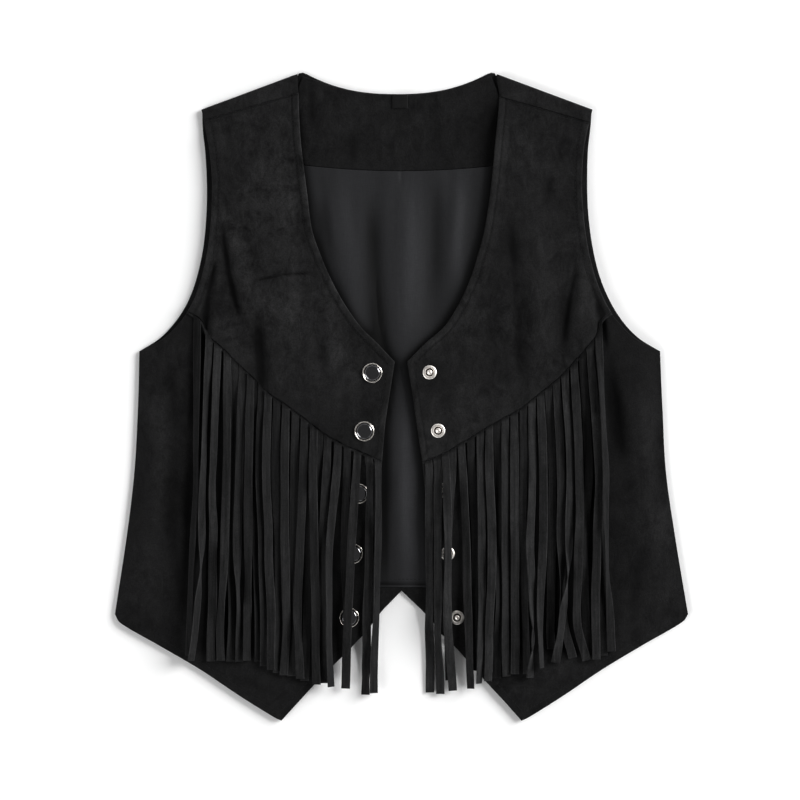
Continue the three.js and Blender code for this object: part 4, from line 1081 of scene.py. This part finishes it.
def make_yoke(side):
    corner = yoke_corner(side)
    armhole = front_armhole(side)
    armhole = np.vstack([armhole[armhole[:, 1] > corner[1]], corner])
    shoulder = forward_seam(side)
    neck = np.vstack([shoulder[-1], edge_line(FRONT_NECK, side)])
    opening = np.vstack([edge_line(FRONT_EDGE, side)[:SEAM_ROW], seam_end(side)])
    inner = edge_of((neck, YOKE_CELLS["neck"]), (opening, YOKE_CELLS["opening"]))
    net = net_of("yoke", SEAM_CELLS, YOKE_CELLS["neck"] + YOKE_CELLS["opening"])
    points, u, v = patch(edge(shoulder), seam_edge(side, 0), (edge(armhole), inner), *net)
    armhole_lift = ARMHOLE_LIFT * near_start(u, YOKE_REACH["armhole"]) * np.sin(math.pi * v)
    opening_lift = OPENING_LIFT + YOKE_EDGE_LIFT[side] * (1 - near_end(v, YOKE_REACH["point"]))
    opening_lift *= near_end(u, YOKE_REACH["opening"])
    lift = front_lift(side, points) + armhole_lift + opening_lift
    lift = ramp(v, 0, YOKE_REACH["shoulder"]) * lift + SEAM_LIFT * near_end(v, YOKE_REACH["seam"])
    sheet = flat_sheet(points, FRONT_LEVEL + lift, FRONT_THICK)
    plan = sheet.plan
    opening_away = distance_to(plan, inner(np.linspace(0, 1, CLOSE_POINTS["opening"])))
    armhole_away = distance_to(plan, armhole)
    relief = folds_at(FRONT_CREASES[side], plan) + uneven("yoke", plan, SIDES[side])
    relief += edge_ridge(opening_away) + ARMHOLE_RIDGE * edge_ridge(armhole_away)
    painted_light_and_tone = painted_relief_light(side, plan, np.minimum(opening_away, armhole_away))
    # A painted highlight along the edge that faces the lamp: the opening on the left front, the armhole on
    # the right.
    painted_light_and_tone += PAINTED_LIGHT["edge_highlight"] * bell(opening_away if side == "left" else armhole_away, PAINTED_LIGHT["edge_highlight_wide"])
    # Painted shade along the shoulder seam.
    painted_light_and_tone -= PAINTED_LIGHT["shoulder"] * bell(distance_to(plan, shoulder), PAINTED_LIGHT["shoulder_wide"])
    rubbed = bell(np.hypot(plan[:, 0] - RUBBED["x"], plan[:, 1] - RUBBED["y"]), RUBBED["reach"])
    node = f"front_yoke_{side}"
    return sheet.dress(node + "_suede", node, "suede", SUEDE, relief, painted_light_and_tone, rubbed)


def make_lower(side):
    seam = seam_edge(side, SEAM_GAP)
    seam_from, seam_to = seam(ENDS)
    armhole = front_armhole(side)
    armpit = np.vstack([armhole[armhole[:, 1] < yoke_corner(side)[1]][::-1], seam_from])
    columns = LOWER_CELLS["armhole"] + SEAM_CELLS
    split = LOWER_CELLS["armhole"] / columns

    def top(shares):
        """The end of the armhole and then the seam."""
        before = (shares <= split + TINY)[:, None]
        return np.where(before, edge(armpit)(shares / split), seam((shares - split) / (1 - split)))

    opening = np.vstack([seam_to, edge_line(FRONT_EDGE, side)[SEAM_ROW + 1:]])
    inner_hem = hem_line(HEM_INNER, side)
    inner_hem = inner_hem[np.abs(inner_hem[:, 0]) > abs(opening[-1, 0]) + GAP]
    outer_cells = round(columns * HEM_SHARE)
    bottom = edge_of(
        (hem_line(HEM_OUTER, side), outer_cells),
        (np.vstack([inner_hem, opening[-1]]), columns - outer_cells))
    side_seam = np.vstack([armpit[0], edge_line(SIDE, side)[1:]])
    net = net_of("lower", columns, LOWER_CELLS["down"])
    points, u, v = patch(top, bottom, (edge(side_seam), edge(opening)), *net)
    above_hem = 1 - near_end(v, LOWER_REACH["hem"])
    lift = ramp(u, 0, LOWER_REACH["side"]) * above_hem * front_lift(side, points)
    lift += OPENING_LIFT * near_end(u, LOWER_REACH["opening"]) * above_hem
    sheet = flat_sheet(points, FRONT_LEVEL + lift - SIDE_DROP * near_start(u, 1 / columns), FRONT_THICK)
    plan = sheet.plan
    away = distance_to(plan, opening)
    relief = folds_at(FRONT_CREASES[side], plan) + uneven("lower", plan, SIDES[side]) + edge_ridge(away)
    # Painted light and shade as on the yoke, a little darker all over, a painted highlight by the opening and
    # painted shade under the fringe.
    painted_light_and_tone = painted_relief_light(side, plan, away) + LOWER_TONE_AND_PAINTED_LIGHT["all"]
    painted_light_and_tone += LOWER_TONE_AND_PAINTED_LIGHT["opening"] * near_end(u, LOWER_TONE_AND_PAINTED_LIGHT["reach"]).ravel()
    painted_light_and_tone = np.clip(painted_light_and_tone + LOWER_TONE_AND_PAINTED_LIGHT["painted_shade_under_fringe"] * painted_shade_under_fringe(side, plan), -1, 1)
    node = f"front_lower_{side}"
    return sheet.dress(node + "_suede", node, "suede", SUEDE, relief, painted_light_and_tone, LOWER_RUBBED)


def loft(rings, tips=None):
    """A closed body through rings of points, as points and faces. Its ends are flat, or run to two tips."""
    numbers = np.arange(rings[..., 0].size).reshape(rings.shape[:2])
    following = np.roll(numbers, -1, axis=1)
    quads = np.stack([numbers[:-1], following[:-1], following[1:], numbers[1:]], -1).reshape(-1, 4)
    points, faces = rings.reshape(-1, 3), quads.tolist()
    if tips is None:
        return points, faces + [numbers[0][::-1].tolist(), numbers[-1].tolist()]
    first, last = numbers.size, numbers.size + 1
    faces += [[first, j, i] for i, j in zip(numbers[0].tolist(), following[0].tolist())]
    faces += [[i, j, last] for i, j in zip(numbers[-1].tolist(), following[-1].tolist())]
    return np.vstack([points, tips]), faces


def turned(outline, x, y, z):
    """A body turned round an upright axis, on which its outline starts and ends."""
    angles = np.arange(TURNED_SIDES) * math.tau / TURNED_SIDES
    circle = np.column_stack([np.cos(angles), np.sin(angles)])
    rings = np.stack([raised([x, y] + radius * circle, z + height) for radius, height in outline[1:-1]])
    return loft(rings, [[x, y, z + outline[i][1]] for i in (0, -1)])


def joined(name, bodies, materials):
    """One object from several bodies, all of one material or each of its own."""
    firsts = np.cumsum([0] + [len(points) for points, _ in bodies]).tolist()
    faces = [[first + i for i in face] for first, (_, own) in zip(firsts, bodies) for face in own]
    piece = mesh_object(name, np.vstack([points for points, _ in bodies]), faces, materials)
    numbers = [number % len(materials) for number, (_, own) in enumerate(bodies) for _ in own]
    piece.data.polygons.foreach_set("material_index", numbers)
    return piece


SNAP_PARTS = {
    "cap": ([CAP_RIM_OUTLINE, CAP_DOME_OUTLINE], [CAP_RIM, CAP_DOME]),
    "stud": ([FLANGE_OUTLINE, GROOVE_OUTLINE, POST_OUTLINE], [STUD, STUD_GROOVE_SHADE, STUD]),
}


def make_snaps(side, ground, relief):
    """The snaps of one front, on its face. Strands then lie over them."""
    kind = SNAP_KIND[side]
    outlines, materials = SNAP_PARTS[kind]
    radius = SNAP_RADIUS[kind]
    disc = np.stack(np.meshgrid(*[np.linspace(-radius, radius, DISC_LINES)] * 2), -1).reshape(-1, 2)
    disc = disc[np.hypot(*disc.T) < radius]
    pieces = []
    for i, (out, y) in enumerate(zip(SNAPS[kind], SNAPS[kind + "_y"]), start=1):
        node = f"snap_{kind}_{i}"
        x = SIDES[side] * out
        seat = float(ground.at(np.array(x), np.array(y))) - SNAP_SUNK
        bodies = [turned(outline, x, y, seat) for outline in outlines]
        piece = joined(f"{node}_metal", bodies, materials)
        settle(piece, node)
        top = bodies[-1][0]
        relief.add(raised(top[:, :2], top[:, 2].max()))
        relief.add(raised([x, y] + disc, seat + SNAP_SHOULDER))
        pieces.append(piece)
    return pieces


def drape(floor):
    """A line of heights that bridges the hollows of a floor as a soft strip does."""
    height = floor.copy()
    for _ in range(DRAPE_ROUNDS):
        middle = (height[:-2] + height[2:]) / 2 - DRAPE_SAG
        height[1:-1] = np.maximum(floor[1:-1], middle)
        height[0] = max(floor[0], height[1])
        height[-1] = max(floor[-1], height[-2] - DRAPE_DROOP)
    return height


def strand(side, row, number, ground, relief):
    """One strand, laid on what is under it: its points and faces, and its painted light and shade with its
    tone.
    """
    root, *outs, tip_y, laid = row
    chance = np.random.default_rng(STRAND_SEED[side] + number)
    half = STRAND_WIDTH / 2
    start = float(seam_at(side, root)) - ROOT_BELOW
    down = np.array([-start, *STRAND_DEPTHS, -tip_y])
    kept = down > down[0] + FIRST_BEND
    kept[0] = True
    y = np.linspace(start, tip_y, int((start - tip_y) / RING_STEP) + 1)
    run = start - y
    out = smooth_at(down[kept], np.array([root, *outs])[kept], -y)
    fade, bent = ramp(run, *LOOSE_FROM), ramp(run, *BENT_FROM)
    for wave in [chance.uniform(*lengths) for lengths in BEND_LENGTHS]:
        out += bent * chance.uniform(*BEND) * np.sin(run * math.tau / wave + chance.uniform(*PHASES))
    x = SIDES[side] * out
    turn = np.sin(run * math.tau / chance.uniform(*TWIST["length"]) + chance.uniform(*PHASES)) * fade
    turn *= math.radians(chance.uniform(*TWIST["swing"]))
    turn += math.radians(chance.uniform(*TWIST["all"])) * fade
    for roll_root, roll_y, length, degrees in zip(*ROLLS[side].values()):
        if roll_root == root:
            turn += math.radians(degrees) * bell(y - roll_y, length)
    over = ramp(run, *ROOT_CLIMB)

    def floor_under(part):
        """What the strand lies on: the front at its root, and further down also the strands under it."""
        low, high = (np.max([on.at(x + half * a, y) for a in part], axis=0) for on in (ground, relief))
        return (low + ROOT_LIFT * laid) * (1 - over) + high * over

    left_edge, right_edge = (
        drape(np.maximum(floor_under(part), STRAND_LOWEST)) for part in (ACROSS[:3], ACROSS[-3:]))
    level = (left_edge + right_edge) / 2
    level += drape(np.maximum(floor_under(MIDDLE_PART) - level, 0))
    tilt = np.arctan2(right_edge - left_edge, STRAND_WIDTH) + turn
    settled = 1 - AIR["settled"] * ramp(run, run[-1] - AIR["tip"], run[-1])
    air = AIR[laid] * ramp(run, *AIR["from"]) * settled * chance.uniform(*AIR["share"])
    rest = level + np.abs(np.sin(turn)) * half * TURNED_LIFT + STRAND_CLEAR + STRAND_THICK / 2 + air
    narrow = 1 - NARROWER["along"] * fade * (1 + np.sin(run / NARROWER["wave"] + chance.uniform(*PHASES))) / 2
    narrow *= 1 - NARROWER["root"] * (1 - ramp(run, *NARROWER["until"]))
    wide = half * AROUND * narrow[:, None]
    thick = FACE_AROUND * STRAND_THICK / 2 + chance.uniform(*CUP) * (AROUND ** 2 - CUP_LEVEL) * fade[:, None]
    cos, sin = np.cos(tilt)[:, None], np.sin(tilt)[:, None]
    lean = np.arctan(np.gradient(x, -y))[:, None]
    rings = np.stack([
        x[:, None] + (wide * cos - thick * sin) * np.cos(lean), y[:, None] + wide * cos * np.sin(lean),
        rest[:, None] + wide * sin + thick * cos], -1)
    root_outs = np.clip(root + SIDES[side] * half * AROUND, 0, None)
    slant = below_seam(side, root_outs, ROOT_BELOW + ROOT_CLEAR)[:, 1]
    kept = rings[..., 1].max(1) < slant.min() - FIRST_RING_GAP
    kept[0] = True
    rings[0, :, 1] = slant
    rings = rings[kept]
    relief.add(rings[1:, :len(ACROSS)].reshape(-1, 3))
    # A random tone, darker with painted shade for strands laid first, painted shade on the outermost strand
    # and at the root, and a painted highlight on the cut edges.
    painted_light_and_tone = chance.uniform(*STRAND_TONE_AND_PAINTED_SHADE[laid])
    if root == STRANDS[side]["root"].max():
        painted_light_and_tone += OUTERMOST_PAINTED_SHADE
    left_highlight, right_highlight = chance.uniform(*CUT_EDGE_PAINTED_HIGHLIGHT, 2)
    cut = left_highlight * (AROUND < -CUT_EDGE) + right_highlight * (AROUND > CUT_EDGE)
    painted_light_parts = np.tile(painted_light_and_tone + cut, (len(rings), 1))
    painted_light_parts[0] = ROOT_PAINTED_SHADE
    return loft(rings), painted_light_parts.ravel()


def heading(side, relief):
    """The narrow strip that the strands are cut from, sewn in just below the yoke."""
    out = seam_places(side, np.linspace(0, 1, CLOSE_POINTS["heading"]))
    high, low = (below_seam(side, out, HEADING[part]) for part in ("top", "bottom"))
    rest = drape(np.maximum(relief.at(*high.T), relief.at(*low.T))) + HEADING["above"]
    top = rest + HEADING["thick"]
    rings = np.stack([raised(high, rest), raised(low, rest), raised(low, top), raised(high, top)], 1)
    return loft(rings), np.zeros(rings[..., 0].size)


def make_fringe(side, relief):
    parts = [heading(side, relief)]
    ground = Relief(relief.height)
    rows = list(zip(*STRANDS[side].values()))
    for number in sorted(range(len(rows)), key=lambda i: rows[i][-1]):
        parts.append(strand(side, rows[number], number, ground, relief))
    bodies, painted_light_parts = zip(*parts)
    piece = joined(f"fringe_{side}_suede", bodies, [FRINGE_SUEDE])
    store(piece, "painted_light_and_tone", np.concatenate(painted_light_parts))
    settle(piece, f"fringe_{side}")
    return piece


def make_label():
    """A small bare label, sewn down at its ends."""
    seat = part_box("neck_label")[0].z / MM
    lines = np.linspace(-1, 1, LABEL["lines"])
    plan = np.dstack(np.meshgrid(
        LABEL["x"] + lines * LABEL["wide"] / 2, LABEL["y"] + lines[::-1] * LABEL["tall"] / 2))
    swell = 1 - np.abs(lines) ** LABEL["power"]
    puff = LABEL["puff"] * np.outer(swell, swell)
    sheet = flat_sheet(plan, seat + LABEL["above"] + puff, LABEL["thick"])
    return sheet.dress("neck_label_tape", "neck_label", "label_tape", TAPE, np.zeros(puff.size))


def stitches(name, line, face):
    """A row of stitches along a line, lying on the face of a panel."""
    tree = tree_of(raised(face[:, :2], 0))
    total = lengths_along(line)[-1]
    angles = np.arange(STITCH_SIDES) * math.tau / STITCH_SIDES
    circle = np.cos(angles), np.sin(angles)
    wide, tall = (STITCH_THICK / 2 * np.outer(STITCH_SWELL, way) for way in circle)
    bodies = []
    for i in range(int(total / STITCH_STEP)):
        shares = (i * STITCH_STEP + np.linspace(0, STITCH_LONG, len(STITCH_SWELL))) / total
        middle = place_along(line, np.clip(shares, 0, 1))
        run = middle[-1] - middle[0]
        run = run / np.linalg.norm(run)
        level = face[[tree.find(p)[1] for p in raised(middle, 0)], 2] + STITCH_RISE
        bodies.append(loft(np.stack([
            middle[:, :1] - run[1] * wide, middle[:, 1:] + run[0] * wide, level[:, None] + tall], -1)))
    piece = joined(name, bodies, [THREAD])
    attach(piece, "root")


def inset_line(line, inset, start, end):
    """Part of a line, moved sideways by an inset to the right of its run."""
    dense = place_along(line, np.linspace(start, end, CLOSE_POINTS["stitches"]))
    run = np.gradient(dense, axis=0)
    run /= np.linalg.norm(run, axis=1)[:, None]
    return dense + np.column_stack([run[:, 1], -run[:, 0]]) * inset


def sew_front(side, yoke, lower):
    """The rows of stitches on a front, each from one share of its line to another."""
    inward = -SIDES[side] * STITCH_INSET
    front_edge, armhole = edge_line(FRONT_EDGE, side), front_armhole(side)
    opening = np.vstack([edge_line(FRONT_NECK, side), front_edge[1:SEAM_ROW], seam_end(side)])
    armhole = armhole[armhole[:, 1] > yoke_corner(side)[1]]
    rows = [
        ("neck", opening, inward, 0.02, 0.98, yoke),
        ("armhole", armhole, -inward, 0.03, 0.97, yoke),
        ("shoulder", forward_seam(side), inward / 3, 0.02, 0.98, yoke),
        ("opening", front_edge[SEAM_ROW:], inward, 0.05, 0.94, lower),
        ("hem", hem_line(HEM_OUTER, side)[HEM_ROWS["outer_from"]:], -inward, 0.02, 0.95, lower),
        ("inner_hem", hem_line(HEM_INNER, side)[:HEM_ROWS["inner_to"]], -inward, 0.07, 0.98, lower),
    ]
    for name, line, inset, start, end, sheet in rows:
        stitches(f"{name}_stitches_{side}", inset_line(line, inset, start, end), sheet.face)


back, facing, lining, hem_facing = make_back(), make_neck_facing(), make_lining(), make_hem_facing()
label = make_label()
back.declare([])
facing.declare([back], [label.piece])
lining.declare([back])
hem_facing.declare([back])
hem_ends = [SIDES[side] * (SIDE[side][-1] - LINING_INSET - LINING_HEM_SHORT) for side in SIDES]
stitches("lining_hem_stitches", line_of(lambda x: LINING_HEM["y"][0], *hem_ends), lining.face)

for side in SIDES:
    yoke, lower = make_yoke(side), make_lower(side)
    ground, relief = Relief(), Relief()
    for face in (yoke.face, lower.face):
        ground.add(face)
    for face in (back.points[back.out[:, 2] > FACES_UP], lining.face, hem_facing.face, lower.face):
        relief.add(face)
    snaps = make_snaps(side, ground, relief)
    fringe = make_fringe(side, relief)
    sew_front(side, yoke, lower)
    yoke.declare([lining, facing], snaps[:2])
    lower.declare([lining, hem_facing], [fringe] + snaps[2:])


def make_floor():
    """White paper under the vest."""
    half, below = 4000, -0.3
    corners = [(-half, -half, below), (half, -half, below), (half, half, below), (-half, half, below)]
    look = new_look("white_paper", {"Roughness": 0.95, "Specular IOR Level": 0.05})
    tone = look.spread(look.noise(6), *MOST_NOISE, 0.995, 1.005)
    paper = look.join({"Base Color": look.shade((0.97, 0.97, 0.97), tone)})
    mesh_object("white_surface", corners, [(0, 1, 2, 3)], [paper])


def make_light(name, place, size, watts):
    """A light that faces the middle of the vest."""
    data = bpy.data.lights.new(name, "AREA")
    data.shape = "RECTANGLE"
    data.size, data.size_y = size
    data.energy = watts
    light = new_object(name, data)
    light.location = place
    light.rotation_euler = (-Vector(place)).to_track_quat("-Z", "Y").to_euler()


def make_studio():
    """Pale walls low down all round, and a dark ceiling."""
    studio = Look(bpy.data.worlds.new("studio"), "Background", {"Color": (1, 1, 1, 1)})
    parts = studio.node("SeparateXYZ", links={"Vector": studio.place["Generated"]})
    strength = studio.spread(parts.outputs["Z"], 0.2, 0.5, 1.9, 0.14)
    bpy.context.scene.world = studio.join({"Strength": strength})


make_floor()
make_light("key", (3.6, 1.6, 2.2), (2.2, 2.2), 250)
make_light("fill", (-1.9, -1.3, 1.4), (1.6, 1.0), 30)
make_studio()
camera_data = bpy.data.cameras.new("camera")
camera_data.sensor_width = SENSOR
camera_data.lens = SENSOR * CAMERA_HIGH / FRAME_WIDE
camera_data.clip_end = 20
camera = new_object("camera", camera_data)
camera.location = (*VIEW_CENTRE, CAMERA_HIGH)
bpy.context.scene.camera = camera
bpy.context.scene.view_settings.view_transform = "Standard"
bpy.context.scene.view_settings.gamma = 0.85
